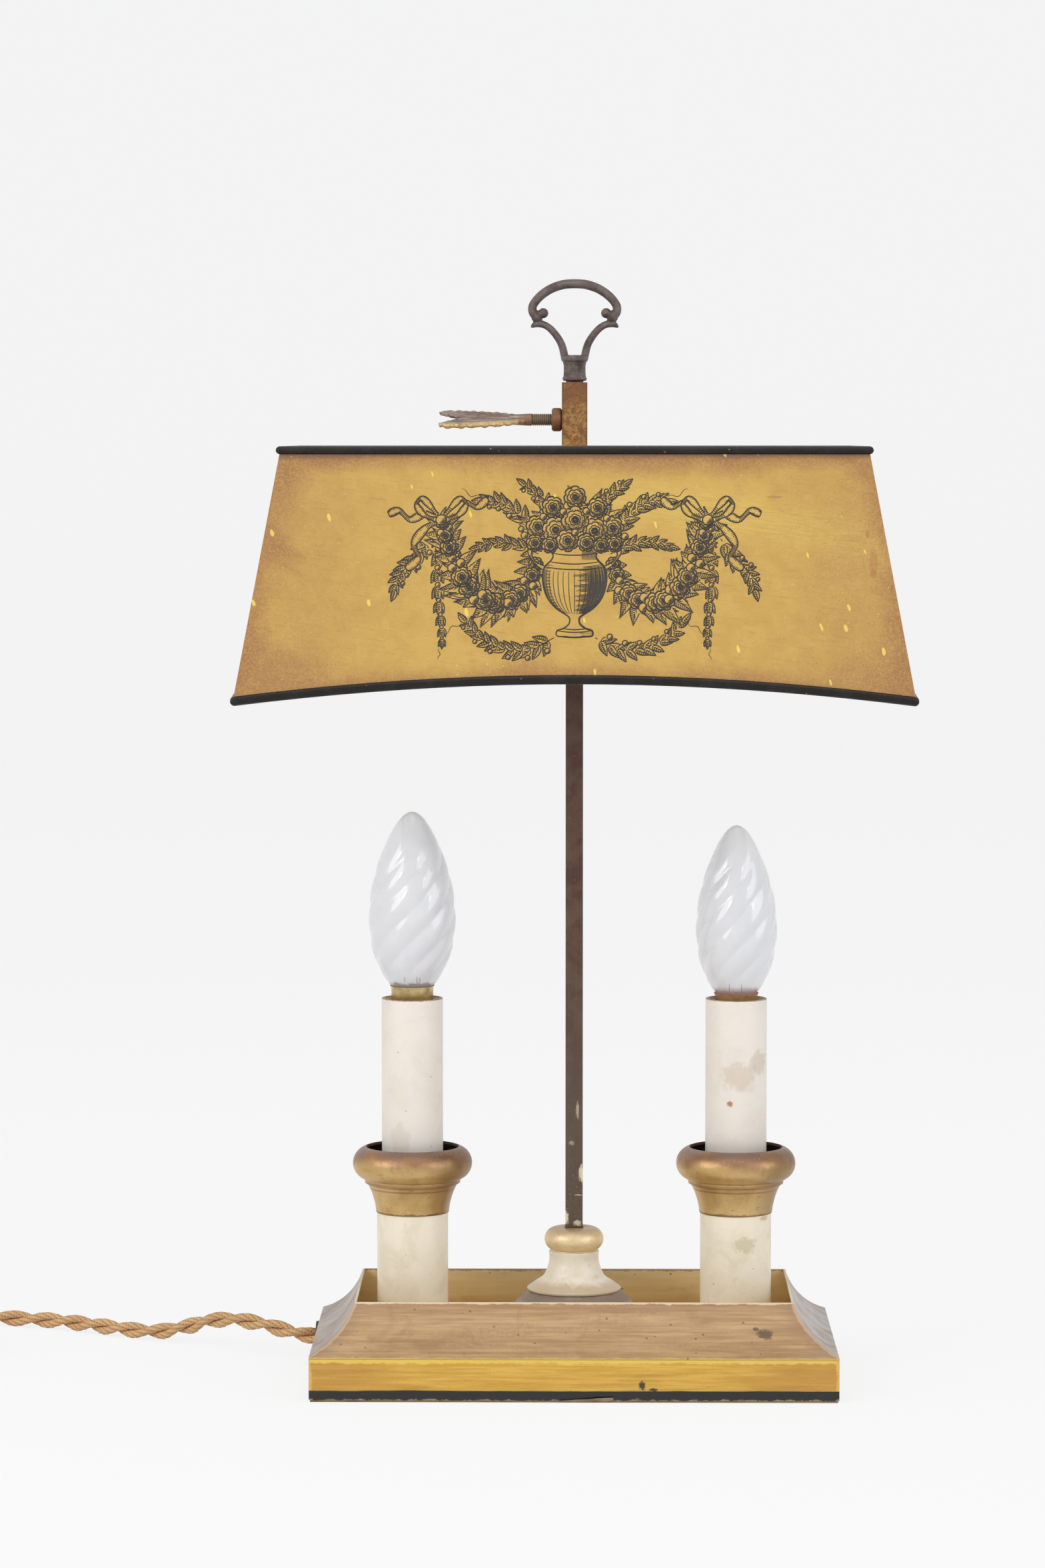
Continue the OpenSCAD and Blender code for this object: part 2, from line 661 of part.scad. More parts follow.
module cross_bars() {
    low = bar_z - bar_t;
    color("darkgoldenrod") difference() {
        union() {
            cross_bar(half_w(low) - shade_t, half_w(bar_z) - shade_t);
            rotate(90) cross_bar(half_d(low) - shade_t, half_d(bar_z) - shade_t);
        }
        square_hole(slider_s, low - 1, bar_z + 1);
    }
}

// ---- Slider and clamp ----

slider_hole = stem_s + 2 * slider_play;
screw_hole_d = screw_d + 2 * run_fit;
pad_l = 0.9;

module along_clamp() { translate([0, 0, clamp_z]) rotate([0, -90, 0]) children(); }

module slider() {
    low = bar_z - bar_t - slider_down;
    color("darkgoldenrod") difference() {
        square_hole(slider_s, low, shade_top_z + slider_up);
        square_hole(slider_hole, low - 1, shade_top_z + slider_up + 1);
        along_clamp() cylinder(d = screw_hole_d, h = slider_s);
    }
}

module clamp_boss() {
    color("saddlebrown") along_clamp() translate([0, 0, slider_s / 2]) ring(boss_d, screw_hole_d, boss_l);
}

pad_x = stem_s / 2 + 0.05;
module clamp_pad() {
    color("gold") along_clamp() translate([0, 0, pad_x]) cylinder(d = screw_d - 0.6, h = pad_l);
}

leaf_x = slider_s / 2 + boss_l + screw_out;
module clamp_screw() {
    start = pad_x + pad_l + 0.05;
    turns = floor((leaf_x - start) / screw_pitch);
    r = screw_d / 2;
    depth = 0.55 * screw_pitch;
    color("saddlebrown") along_clamp() translate([0, 0, start]) rotate_extrude() polygon(concat([[0, 0]],
        [for (i = [0:turns - 1]) each [[r - depth, i * screw_pitch], [r, (i + 0.5) * screw_pitch]]],
        [[r - depth, turns * screw_pitch], [r - depth, leaf_x - start], [0, leaf_x - start]]));
}

// Half width of the leaf, as a share, at shares of its length
leaf_shape = [[0, 0.36], [0.08, 0.42], [0.2, 0.6], [0.35, 0.78], [0.5, 0.9], [0.66, 0.98], [0.8, 1],
    [0.92, 0.92], [1, 0.66]];

module leaf_key() {
    notch = 0.2 * leaf_l;
    cup_r = 0.95 * leaf_w;
    half = smooth([for (p = leaf_shape) [leaf_l * p[0], leaf_w / 2 * p[1]]], 3);
    outline = concat(half, [[leaf_l - notch, 0]], [for (i = [len(half) - 1:-1:0]) [half[i][0], -half[i][1]]]);
    hub_l = 3;
    color("darkgoldenrod") translate([-leaf_x, 0, clamp_z]) rotate([leaf_turn, 0, 0]) rotate(180) {
        intersection() {
            translate([0, 0, -leaf_w]) linear_extrude(2 * leaf_w) polygon(outline);
            translate([0, 0, cup_r]) rotate([0, 90, 0]) translate([0, 0, -0.5]) difference() {
                cylinder(r = cup_r + leaf_t / 2, h = leaf_l + 2, $fn = 96);
                translate([0, 0, -1]) cylinder(r = cup_r - leaf_t / 2, h = leaf_l + 4, $fn = 96);
            }
            translate([0, -leaf_w, -leaf_w / 2]) cube([leaf_l + 1, 2 * leaf_w, leaf_w]);
        }
        rotate([0, 90, 0]) cylinder(d1 = screw_d, d2 = 2.2, h = hub_l);
    }
}

// ---- Ring handle ----

// The right half of the ring, from the middle of its top to the curl at its end, as shares of the
// ring's half width and of the height above the foot
ring_path = [[0, 1], [0.22, 0.995], [0.42, 0.967], [0.6, 0.92], [0.75, 0.855], [0.86, 0.775],
    [0.925, 0.69], [0.93, 0.615], [0.89, 0.55], [0.81, 0.53], [0.74, 0.55], [0.72, 0.595]];
ring_leg = [[0.85, 0.415], [0.75, 0.43], [0.61, 0.41], [0.45, 0.345], [0.33, 0.25], [0.25, 0.15],
    [0.205, 0.05], [0.19, -0.02]];

module ring_handle() {
    low = stem_z;
    top = stem_z + foot_h;
    r = ring_rod / 2;
    rise = ring_h - foot_h - r;
    half = [for (p = smooth(ring_path, 3)) [p[0] * (ring_w / 2 - r) / 0.93, 0, top + rise * p[1]]];
    loop = concat([for (i = [len(half) - 1:-1:1]) [-half[i][0], 0, half[i][2]]], half);
    bore = tenon_d + 2 * fit;
    color("dimgray") {
        rod(loop, r, sides = 10, up = [0, 1, 0]);
        for (s = [-1, 1]) {
            leg = smooth([for (p = ring_leg) [s * p[0] * ring_w / 2, 0, top + rise * p[1]]], 2);
            rod(leg, [for (i = [0:len(leg) - 1]) i == 0 ? 0.8 : i == 1 ? 1.2 : 1.5],
                sides = 8, up = [0, 1, 0]);
            rod([for (z = [0.42, 0.48, 0.53]) [s * 0.77 * ring_w / 2, 0, top + rise * z]], [1.6, 2, 1.6],
                sides = 8, up = [0, 1, 0]);
        }
        difference() {
            rotate_extrude() polygon([[0, low], [foot_d / 2 - 0.9, low], [foot_d / 2 - 0.5, low + 0.7],
                [foot_d / 2 - 0.6, low + 2], [foot_d / 2 - 1, low + 3.6], [foot_d / 2 - 1, top - 4],
                [foot_d / 2 - 0.5, top - 2.6], [foot_d / 2, top - 1.8], [foot_d / 2, top - 0.6],
                [foot_d / 2 - 0.6, top], [0, top]]);
            translate([0, 0, low - 1]) cylinder(d = bore, h = tenon_h + 1.5);
        }
    }
}

// ---- Cord, switch and plug ----

rest_z = cord_d / 2;
switch_x = -266;
switch_y = 116;
switch_l = 52;
switch_w = 24;
switch_h = 14;
coil_at = [-304, 48];
coil_wide = 3 * cord_d;
coil_high = 2 * cord_d;
plug_l = 36;
plug_r = 17;
pin_l = 19;
pin_apart = 19;
pin_d = 4;
pin_deep = 12;

lead_route = [[-107, 40, 9], [-110.5, 40, 9], [-115, 41.4, 9.5], [-121, 44.5, 10.5], [-130, 50, 11.8],
    [-141, 57, 12.4], [-152, 64, 10.8], [-164, 72, 6.6], [-176, 78, 3.7], [-190, 84, 3.5], [-205, 94, 3.5],
    [-219, 103, 3.5], [-232, 108, 3.5], [-244, 111, 3.6], [-251, 113.2, 4.5], [-258, 115, 6], [-265.8, 116, 7]];
middle_route = [[-318.2, 116, 7], [-324, 116, 6.2], [-333.3, 114.2, 4.6], [-342.3, 109, 3.7],
    [-349, 101, 3.5], [-352, 93.8, 3.5], [-353, 86, 3.5], [-353, 75, 3.5]];
tail_route = [[-338.6, 6.3, 15.1], [-336.9, 2.6, 15.9], [-335.3, -0.9, 16.7], [-333.9, -3.9, 17],
    [-333.35, -5.05, 17], [-332.8, -6.2, 17]];

module cord_lead() { color("peru") rod(smooth(lead_route, 2), cord_d / 2, sides = 10); }
module cord_middle() { color("peru") rod(smooth(middle_route, 2), cord_d / 2, sides = 10); }
module cord_tail() { color("peru") rod(smooth(tail_route, 2), cord_d / 2, sides = 10); }

module coil_section(grow) {
    c = 2.5;
    w = coil_wide / 2 + grow;
    h = coil_high / 2 + grow;
    translate([coil_mean_d / 2, coil_high / 2]) polygon([[c - w, -h], [w - c, -h], [w, c - h], [w, h - c],
        [w - c, h], [c - w, h], [-w, h - c], [-w, c - h]]);
}

module cord_coil() {
    color("peru") translate(coil_at) rotate_extrude($fn = 96) coil_section(0);
}

tie_t = 1.3;
tie_w = 7;
// A strap round the coil. Its lower side is pressed flat on the table
module cord_tie() {
    color("tan") translate(coil_at) rotate(-30) intersection() {
        rotate([90, 0, 0]) linear_extrude(tie_w, center = true) difference() {
            coil_section(tie_t + gap);
            coil_section(gap);
        }
        translate([0, -coil_wide, 0]) cube([2 * coil_mean_d, 2 * coil_wide, 3 * coil_high]);
    }
}

module along_plug() {
    end = tail_route[len(tail_route) - 1];
    dir = unit(end - tail_route[len(tail_route) - 2]);
    translate(end) rotate(atan2(dir[1], dir[0])) rotate([0, 90, 0]) children();
}

module plug_body() {
    color("saddlebrown") along_plug() difference() {
        rotate_extrude() polygon([[0, 0], [5.5, 0], [6.2, 1], [6.6, 8], [8.6, 12], [12.5, 15.5], [15.4, 18],
            [plug_r, 21], [plug_r, plug_l - 2], [plug_r - 1, plug_l], [0, plug_l]]);
        for (x = [-1, 1]) translate([x * pin_apart / 2, 0, plug_l - pin_deep])
            cylinder(d = pin_d + 2 * fit, h = pin_deep + 1);
    }
}

module plug_pins() {
    tip = 1.5;
    color("gold") along_plug() for (x = [-1, 1]) translate([x * pin_apart / 2, 0, plug_l - pin_deep]) {
        cylinder(d = pin_d, h = pin_deep + pin_l - tip);
        translate([0, 0, pin_deep + pin_l - tip]) cylinder(d1 = pin_d, d2 = 0.6 * pin_d, h = tip);
    }
}

switch_at = [switch_x - switch_l / 2, switch_y, 0];
rocker_z = 8;
rocker_tilt = 10;
rocker_w = 10;
rocker_pin = 2.4;
rocker_pin_l = rocker_w + 2.6;
rocker_hole = [18.4, rocker_w + 0.8];

module across_switch(d, l) {
    translate([0, 0, rocker_z]) rotate([90, 0, 0]) cylinder(d = d, h = l, center = true);
}

module switch_body() {
    side_r = 0.9 * switch_l;
    color("saddlebrown") translate(switch_at) difference() {
        intersection() {
            cylinder(d = switch_l, h = switch_h);
            translate([0, side_r - switch_w / 2, -1]) cylinder(r = side_r, h = switch_h + 2, $fn = 120);
            translate([0, switch_w / 2 - side_r, -1]) cylinder(r = side_r, h = switch_h + 2, $fn = 120);
        }
        translate([-rocker_hole[0] / 2, -rocker_hole[1] / 2, rocker_z - 3])
            cube([rocker_hole[0], rocker_hole[1], switch_h]);
        across_switch(rocker_pin + 2 * gap, rocker_pin_l + 2 * gap);
    }
}

module switch_rocker() {
    color("wheat") translate(switch_at) {
        across_switch(rocker_pin, rocker_pin_l);
        translate([0, 0, rocker_z]) rotate([90, -rocker_tilt, 0]) linear_extrude(rocker_w, center = true)
            polygon([[-5.5, -1], [5.5, -1], [7.2, 1.5], [7.2, 6.2], [0, 5.4], [-7.2, 6.2], [-7.2, 1.5]]);
    }
}

base_band();
cove_front();
cove_back();
cove_left();
cove_right();
tray_floor();
bottom_plate();
lining();
weight();
cord_bushing();
terminal_block();
stem();
under_floor_nuts();
stem_dome();
stem_bell();
stem_collar();
candle_tube(-1);  // candle_tube_left
candle_tube(1);  // candle_tube_right
cup(-1);  // cup_left
cup(1);  // cup_right
sleeve(-1);  // sleeve_left
sleeve(1);  // sleeve_right
nipples();
cup_nuts();
holder_brackets();
holder_body(-1);  // holder_body_left
holder_body(1);  // holder_body_right
screw_shells();
centre_contacts();
bulb_glass(-1);  // bulb_glass_left
bulb_glass(1);  // bulb_glass_right
bulb_cap(-1);  // bulb_cap_left
bulb_cap(1);  // bulb_cap_right
bulb_contact(-1);  // bulb_contact_left
bulb_contact(1);  // bulb_contact_right
bulb_mount(-1);  // bulb_mount_left
bulb_mount(1);  // bulb_mount_right
shade_front();
shade_back();
shade_left();
shade_right();
top_bead();
bottom_bead();
cross_bars();
slider();
clamp_boss();
clamp_pad();
clamp_screw();
leaf_key();
ring_handle();
inner_leads();
cord_lead();
cord_middle();
cord_coil();
cord_tail();
cord_tie();
plug_body();
plug_pins();
switch_body();
switch_rocker();
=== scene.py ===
import math

import bpy
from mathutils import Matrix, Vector


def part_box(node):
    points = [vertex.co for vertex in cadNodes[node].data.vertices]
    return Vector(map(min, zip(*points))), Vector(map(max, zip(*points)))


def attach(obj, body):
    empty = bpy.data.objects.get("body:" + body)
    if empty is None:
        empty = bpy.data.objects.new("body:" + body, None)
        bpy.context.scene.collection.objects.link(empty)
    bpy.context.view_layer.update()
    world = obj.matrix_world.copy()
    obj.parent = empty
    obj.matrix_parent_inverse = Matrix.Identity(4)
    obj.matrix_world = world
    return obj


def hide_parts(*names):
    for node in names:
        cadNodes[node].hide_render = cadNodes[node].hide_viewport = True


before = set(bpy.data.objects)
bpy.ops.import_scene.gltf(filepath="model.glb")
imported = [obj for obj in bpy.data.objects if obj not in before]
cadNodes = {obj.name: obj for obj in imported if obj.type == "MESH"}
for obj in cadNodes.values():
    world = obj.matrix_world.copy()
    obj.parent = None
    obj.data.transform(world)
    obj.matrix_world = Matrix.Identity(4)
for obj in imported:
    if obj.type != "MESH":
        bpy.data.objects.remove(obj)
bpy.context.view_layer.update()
mm = 0.001


# helpers for objects and edit mode

def deselectAll():
    if bpy.context.mode != "OBJECT":
        leaveEdit()
    bpy.ops.object.select_all(action="DESELECT")


def makeActive(piece):
    deselectAll()
    piece.select_set(True)
    bpy.context.view_layer.objects.active = piece


def nameActive(name):
    piece = bpy.context.object
    piece.name = name
    piece.data.name = name
    return piece


def linkPiece(name, data):
    piece = bpy.data.objects.new(name, data)
    bpy.context.scene.collection.objects.link(piece)
    return piece


def meshPiece(name, vertices, faces):
    mesh = bpy.data.meshes.new(name)
    mesh.from_pydata(vertices, [], faces)
    return linkPiece(name, mesh)


def barPiece(name, lines, resolution, unit=mm):
    # round bars along lines of x, y, z and radius. The radius is in the given unit
    data = bpy.data.curves.new(name, "CURVE")
    data.dimensions = "3D"
    data.bevel_depth = unit
    data.bevel_resolution = resolution
    data.use_fill_caps = True
    for line in lines:
        spline = data.splines.new("POLY")
        spline.points.add(len(line) - 1)
        spline.points.foreach_set("co", [value for point in line for value in (*point[:3], 1.0)])
        spline.points.foreach_set("radius", [point[3] for point in line])
    makeActive(linkPiece(name, data))
    bpy.ops.object.convert(target="MESH")
    return nameActive(name)


def leaveEdit():
    bpy.ops.object.mode_set(mode="OBJECT")


def editAll(piece):
    makeActive(piece)
    bpy.ops.object.mode_set(mode="EDIT")
    bpy.ops.mesh.select_all(action="SELECT")


def editWith(piece, kind, test):
    # opens edit mode with only what passes the test selected
    makeActive(piece)
    bpy.ops.object.mode_set(mode="EDIT")
    bpy.ops.mesh.select_mode(type=kind)
    bpy.ops.mesh.select_all(action="DESELECT")
    leaveEdit()
    for item in {"VERT": piece.data.vertices, "EDGE": piece.data.edges}[kind]:
        item.select = bool(test(item))
    bpy.ops.object.mode_set(mode="EDIT")


def turnOutwards(piece):
    editAll(piece)
    bpy.ops.mesh.normals_make_consistent(inside=False)
    leaveEdit()


def modify(piece, kind, **values):
    # adds a modifier and applies it
    makeActive(piece)
    made = piece.modifiers.new(kind.lower(), kind)
    for key, value in values.items():
        setattr(made, key, value)
    bpy.ops.object.modifier_apply(modifier=made.name)


def smoothShade(piece, angle):
    makeActive(piece)
    bpy.ops.object.shade_smooth_by_angle(angle=math.radians(angle))


def settle(piece):
    # the finished piece's object sits at the origin, unturned and unscaled
    makeActive(piece)
    bpy.ops.object.transform_apply(location=True, rotation=True, scale=True)


def setMaterial(piece, material):
    piece.data.materials.clear()
    piece.data.materials.append(material)


def assign(piece, material, body, slot, *nodes):
    # the finish, the body that the piece rides and the nodes that it stands for
    setMaterial(piece, material)
    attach(piece, body)
    if nodes:
        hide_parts(*nodes)


def curve(points, steps=5):
    # a smooth line through the points, with the given number of steps between neighbours
    line, last = [], len(points) - 1
    for i in range(last):
        near = [points[max(i - 1, 0)], points[i], points[i + 1], points[min(i + 2, last)]]
        for k in range(steps):
            t = k / steps
            line.append(tuple(0.5 * (2 * q + (r - p) * t + (2 * p - 5 * q + 4 * r - s) * t * t
                                     + (3 * q - p - 3 * r + s) * t ** 3) for p, q, r, s in zip(*near)))
    return line + [tuple(points[-1])]


def smoothLine(points, steps):
    return [Vector(point) for point in curve(points, steps)]


def outlineAt(line, share):
    # the second value of an outline where its first one reaches the share
    for a, b in zip(line, line[1:]):
        if share <= b[0]:
            return a[1] + (b[1] - a[1]) * ((share - a[0]) / max(b[0] - a[0], 0.000001))
    return 0.0


def easeStep(value, low, high):
    t = min(max((value - low) / (high - low), 0.0), 1.0)
    return t * t * (3 - 2 * t)


# helpers for materials

def plug(tree, socket, value):
    # links what changes over the surface and sets what doesn't. A colour comes without its alpha
    value = getattr(value, "socket", value)
    if isinstance(value, bpy.types.NodeSocket):
        tree.links.new(value, socket)
    else:
        socket.default_value = (*value, 1.0) if socket.type == "RGBA" else value


def addNode(tree, kind, inputs, **settings):
    node = tree.nodes.new("ShaderNode" + kind)
    for key, value in settings.items():
        setattr(node, key, value)
    for key, value in inputs.items():
        plug(tree, node.inputs[key], value)
    return node


def addLevel(tree, kind, inputs, **settings):
    return Level(tree, addNode(tree, kind, inputs, **settings).outputs[0])


class Level:
    # a value that changes over the surface, so that maths nodes read as plain sums

    def __init__(self, tree, socket):
        self.tree = tree
        self.socket = socket

    def maths(self, operation, *values):
        return addLevel(self.tree, "Math", dict(enumerate(values)), operation=operation)

    def __add__(self, other):
        return self.maths("ADD", self, other)

    def __sub__(self, other):
        return self.maths("SUBTRACT", self, other)

    def __rsub__(self, other):
        return self.maths("SUBTRACT", other, self)

    def __mul__(self, other):
        return self.maths("MULTIPLY", self, other)

    def __truediv__(self, other):
        return self.maths("DIVIDE", self, other)

    def __rtruediv__(self, other):
        return self.maths("DIVIDE", other, self)

    def __lt__(self, other):
        return self.maths("LESS_THAN", self, other)

    def __gt__(self, other):
        return self.maths("GREATER_THAN", self, other)

    def __abs__(self):
        return self.maths("ABSOLUTE", self)

    def most(self, other):
        return self.maths("MAXIMUM", self, other)

    def least(self, other):
        return self.maths("MINIMUM", self, other)

    def ease(self, low, high, toLow=0.0, toHigh=1.0):
        # a soft step from low to high
        return addLevel(self.tree, "MapRange", {0: self, 1: low, 2: high, 3: toLow, 4: toHigh},
                        interpolation_type="SMOOTHSTEP")


def newGroup(name, outputs, **inputs):
    # an input that starts as None is a vector, and any other a number
    tree = bpy.data.node_groups.new(name, "ShaderNodeTree")
    for label, value in inputs.items():
        kind = "NodeSocketVector" if value is None else "NodeSocketFloat"
        socket = tree.interface.new_socket(name=label, in_out="INPUT", socket_type=kind)
        if value is not None:
            socket.default_value = value
    for label in outputs:
        tree.interface.new_socket(name=label, in_out="OUTPUT", socket_type="NodeSocketFloat")
    start = tree.nodes.new("NodeGroupInput").outputs
    end = tree.nodes.new("NodeGroupOutput").inputs
    return tree, {label: Level(tree, start[label]) for label in inputs}, end


def noise(tree, place, scale, detail, **others):
    return addLevel(tree, "TexNoise", {"Vector": place, "Scale": scale, "Detail": detail, **others})


def stretch(tree, place, x, y, z):
    scale = addLevel(tree, "CombineXYZ", {0: x, 1: y, 2: z})
    return addLevel(tree, "VectorMath", {0: place, 1: scale}, operation="MULTIPLY")


def buildStreaks():
    # brush marks that run along X: two sizes of stretched noise
    tree, given, end = newGroup("brushStreaks", ["Value", "Fine"], Place=None, Width=0.002, Long=20.0)
    across = 1.0 / given["Width"]
    place = stretch(tree, given["Place"], across / given["Long"], across, across)
    plug(tree, end["Value"], noise(tree, place, 1.0, 4.0, Roughness=0.6))
    plug(tree, end["Fine"], noise(tree, place, 4.3, 2.0, Roughness=0.7))
    return tree


def buildMottle():
    # cloudy patches, with a finer grain beside them
    tree, given, end = newGroup("mottle", ["Value", "Grain"], Place=None, Size=0.01)
    scale = 1.0 / given["Size"]
    plug(tree, end["Value"], noise(tree, given["Place"], scale, 5.0, Roughness=0.62, Distortion=0.6))
    plug(tree, end["Grain"], noise(tree, given["Place"], scale * 11.0, 3.0, Roughness=0.7))
    return tree


def buildSpecks(name, flat):
    # separate flecks, one in some of the cells. Tall stretches them upwards
    tree, given, end = newGroup(name, ["Mask"], Place=None, Cell=0.01, Share=0.3, Radius=0.15, Tall=1.0)
    across = 1.0 / given["Cell"]
    place = stretch(tree, given["Place"], across, across, across / given["Tall"])
    shift = noise(tree, place, 5.0, 2.0) * 0.16 + -0.08
    if flat:
        parts = addNode(tree, "SeparateXYZ", {0: place}).outputs
        place = addLevel(tree, "CombineXYZ", {0: parts[0], 1: parts[2]})
    space = "2D" if flat else "3D"
    cells = addNode(tree, "TexVoronoi", {"Vector": place, "Scale": 1.0}, voronoi_dimensions=space)
    near = Level(tree, cells.outputs["Distance"]) + shift
    picked = addLevel(tree, "SeparateColor", {0: cells.outputs["Color"]})
    inside = near.ease(given["Radius"], given["Radius"] * 0.6)
    plug(tree, end["Mask"], inside * (picked < given["Share"]))
    return tree


def buildWorn():
    # a broken border: 1 where Distance is under Width, with a ragged edge
    tree, given, end = newGroup("wornBorder", ["Mask"], Place=None, Distance=1.0, Width=0.002, Size=0.003)
    ragged = noise(tree, given["Place"], 1.0 / given["Size"], 5.0, Roughness=0.7) * 3.0 + -1.5
    moved = ragged * given["Width"] + given["Distance"]
    plug(tree, end["Mask"], moved.ease(given["Width"] * 1.2, given["Width"] * 0.55))
    return tree


def buildSpot():
    # a soft round spot of half size Shape round Centre, frayed by noise
    tree, given, end = newGroup("spot", ["Mask"], Place=None, Centre=None, Shape=None, Fray=0.5)
    away = addLevel(tree, "VectorMath", {0: given["Place"], 1: given["Centre"]}, operation="SUBTRACT")
    share = addLevel(tree, "VectorMath", {0: away, 1: given["Shape"]}, operation="DIVIDE")
    far = addNode(tree, "VectorMath", {0: share}, operation="LENGTH").outputs["Value"]
    shift = noise(tree, share, 1.7, 4.0, Roughness=0.65) * 2.0 + -1.0
    plug(tree, end["Mask"], (shift * given["Fray"] + far).ease(1.0, 0.55))
    return tree


streakGroup = buildStreaks()
mottleGroup = buildMottle()
speckGroup = buildSpecks("specks", False)
fleckGroup = buildSpecks("flatFlecks", True)
wornGroup = buildWorn()
spotGroup = buildSpot()


class Paint:
    # a material that is laid on in coats, each over the last

    def __init__(self, name, base, **values):
        self.material = bpy.data.materials.new(name)
        self.material.use_nodes = True
        self.tree = self.material.node_tree
        self.shader = self.tree.nodes["Principled BSDF"]
        self.tint = base
        self.feed(values)
        places = self.tree.nodes.new("ShaderNodeTexCoord").outputs
        self.place = places["Object"]
        self.around = places["UV"]

    def feed(self, values):
        for key, value in values.items():
            plug(self.tree, self.shader.inputs[key.replace("_", " ")], value)

    def split(self, place=None):
        outputs = addNode(self.tree, "SeparateXYZ", {0: place or self.place}).outputs
        return [Level(self.tree, socket) for socket in outputs]

    def lengthwise(self, slope=0.0):
        # a place that runs along a wall on any of the four sides, with height as Z, and the three parts
        x, y, z = self.split()
        run = x + y
        return addLevel(self.tree, "CombineXYZ", {0: run, 2: run * slope + z}), x, y, z

    def use(self, group, place=None, **values):
        node = addNode(self.tree, "Group", {"Place": place or self.place, **values}, node_tree=group)
        return [Level(self.tree, socket) for socket in node.outputs]

    def mottle(self, size):
        return self.use(mottleGroup, Size=size)

    def streaks(self, width, long, place=None):
        return self.use(streakGroup, place, Width=width, Long=long)

    def specks(self, cell, share, radius, place=None):
        return self.use(speckGroup, place, Cell=cell, Share=share, Radius=radius)[0]

    def flecks(self, cell, share, radius, tall, place):
        return self.use(fleckGroup, place, Cell=cell, Share=share, Radius=radius, Tall=tall)[0]

    def worn(self, distance, width, size):
        return self.use(wornGroup, Distance=distance, Width=width, Size=size)[0]

    def spot(self, centre, shape, fray):
        return self.use(spotGroup, Centre=centre, Shape=shape, Fray=fray)[0]

    def blend(self, mask, under, over):
        return addNode(self.tree, "Mix", {0: mask, 6: under, 7: over}, data_type="RGBA").outputs[2]

    def coat(self, mask, over):
        self.tint = self.blend(mask, self.tint, over)

    def spots(self, spots, fray):
        # each has a centre, a half size, a strength and a colour
        for centre, shape, strength, over in spots:
            self.coat(self.spot(centre, shape, fray) * strength, over)

    def finish(self, height=None, depth=0.0, strength=1.0, **values):
        # joins the last coat, the bumps and what else changes over the surface to the shader
        self.feed({"Base Color": self.tint, **values})
        if height:
            bumps = addNode(self.tree, "Bump", {"Height": height, "Distance": depth, "Strength": strength})
            self.feed({"Normal": bumps.outputs[0]})
        return self.material


print("camera and cords")

cameraValues = {"place": (0.0, -2.030, 0.3825), "lens": 115.71, "sensor": 36, "down": 3.98, "left": 0.591,
                "near": 0.05, "far": 40}


def makeCamera():
    values = cameraValues
    turn = (math.radians(90 - values["down"]), 0, math.radians(values["left"]))
    bpy.ops.object.camera_add(location=values["place"], rotation=turn)
    camera = bpy.context.object
    camera.name = "camera"
    camera.data.sensor_width = values["sensor"]
    camera.data.lens = values["lens"]
    camera.data.clip_start = values["near"]
    camera.data.clip_end = values["far"]
    bpy.context.scene.camera = camera


cordValues = {
    "diameter": 0.007, "strand": 0.00345, "twist": 0.030, "length": 1.7, "step": 0.0016,
    # the route is in millimetres
    "lead": [(-103, 40, 9), (-107, 40, 9), (-110.5, 40, 9), (-115, 41.4, 9.5), (-121, 44.5, 10.5),
             (-130, 50, 11.8), (-141, 57, 12.4), (-152, 64, 10.8), (-164, 72, 6.6), (-176, 78, 3.7),
             (-190, 84, 3.5), (-205, 94, 3.5), (-219, 103, 3.5), (-232, 108, 3.5), (-244, 111, 3.6),
             (-251, 113.2, 4.5), (-258, 115, 6), (-265.8, 116, 7), (-275, 116, 7), (-292, 116, 7),
             (-309, 116, 7), (-318.2, 116, 7), (-324, 116, 6.2), (-333.3, 114.2, 4.6), (-342.3, 109, 3.7),
             (-349, 101, 3.5), (-352, 93.8, 3.5), (-353, 86, 3.5), (-353, 75, 3.5), (-353, 62, 3.5)],
    "coilAt": (-304, 48), "turns": (49, 42, 35), "layers": (3.5, 10.5), "leave": 205,
    "tail": [(-343.3, 16.4, 12.4), (-340.3, 9.9, 14.2), (-338.6, 6.3, 15.1), (-336.9, 2.6, 15.9),
             (-335.3, -0.9, 16.7), (-333.9, -3.9, 17), (-333.35, -5.05, 17), (-332.8, -6.2, 17),
             (-331.45, -9.02, 17)],
    # the colour of the threads on top is painted light, and the colour of the gaps between threads painted
    # shade
    "thread": (0.64, 0.37, 0.16), "litThread": (0.76, 0.485, 0.23), "gap": (0.33, 0.15, 0.055),
    "soiled": (0.50, 0.26, 0.10),
    "carriers": 5.0, "picks": 430.0,
}


def coilPoint(angle):
    # the coil winds inwards on the table and outwards on top of that
    outer, middle, inner = cordValues["turns"]
    low, high = cordValues["layers"]
    inwards = easeStep(angle, 430, 540) + easeStep(angle, 790, 900)
    outwards = easeStep(angle, 1290, 1400) + easeStep(angle, 1650, 1760)
    radius = outer - (outer - middle) * inwards + (middle - inner) * outwards
    x, y = cordValues["coilAt"]
    turn = math.radians(angle)
    z = low + (high - low) * easeStep(angle, 1040, 1150)
    return x + radius * math.cos(turn), y + radius * math.sin(turn), z


def cordPath():
    coil = [coilPoint(angle) for angle in range(180, 1800 + cordValues["leave"] + 1, 5)]
    line = smoothLine(cordValues["lead"], 6) + smoothLine(coil + cordValues["tail"], 2)
    return [point * mm for point in line]


def evenly(points, step):
    # the same line with points at even distances
    made = [points[0].copy()]
    left = step
    for a, b in zip(points, points[1:]):
        length = (b - a).length
        while length >= left and length > 0:
            a = a + (b - a) * (left / length)
            made.append(a.copy())
            length = (b - a).length
            left = step
        left -= length
    return made


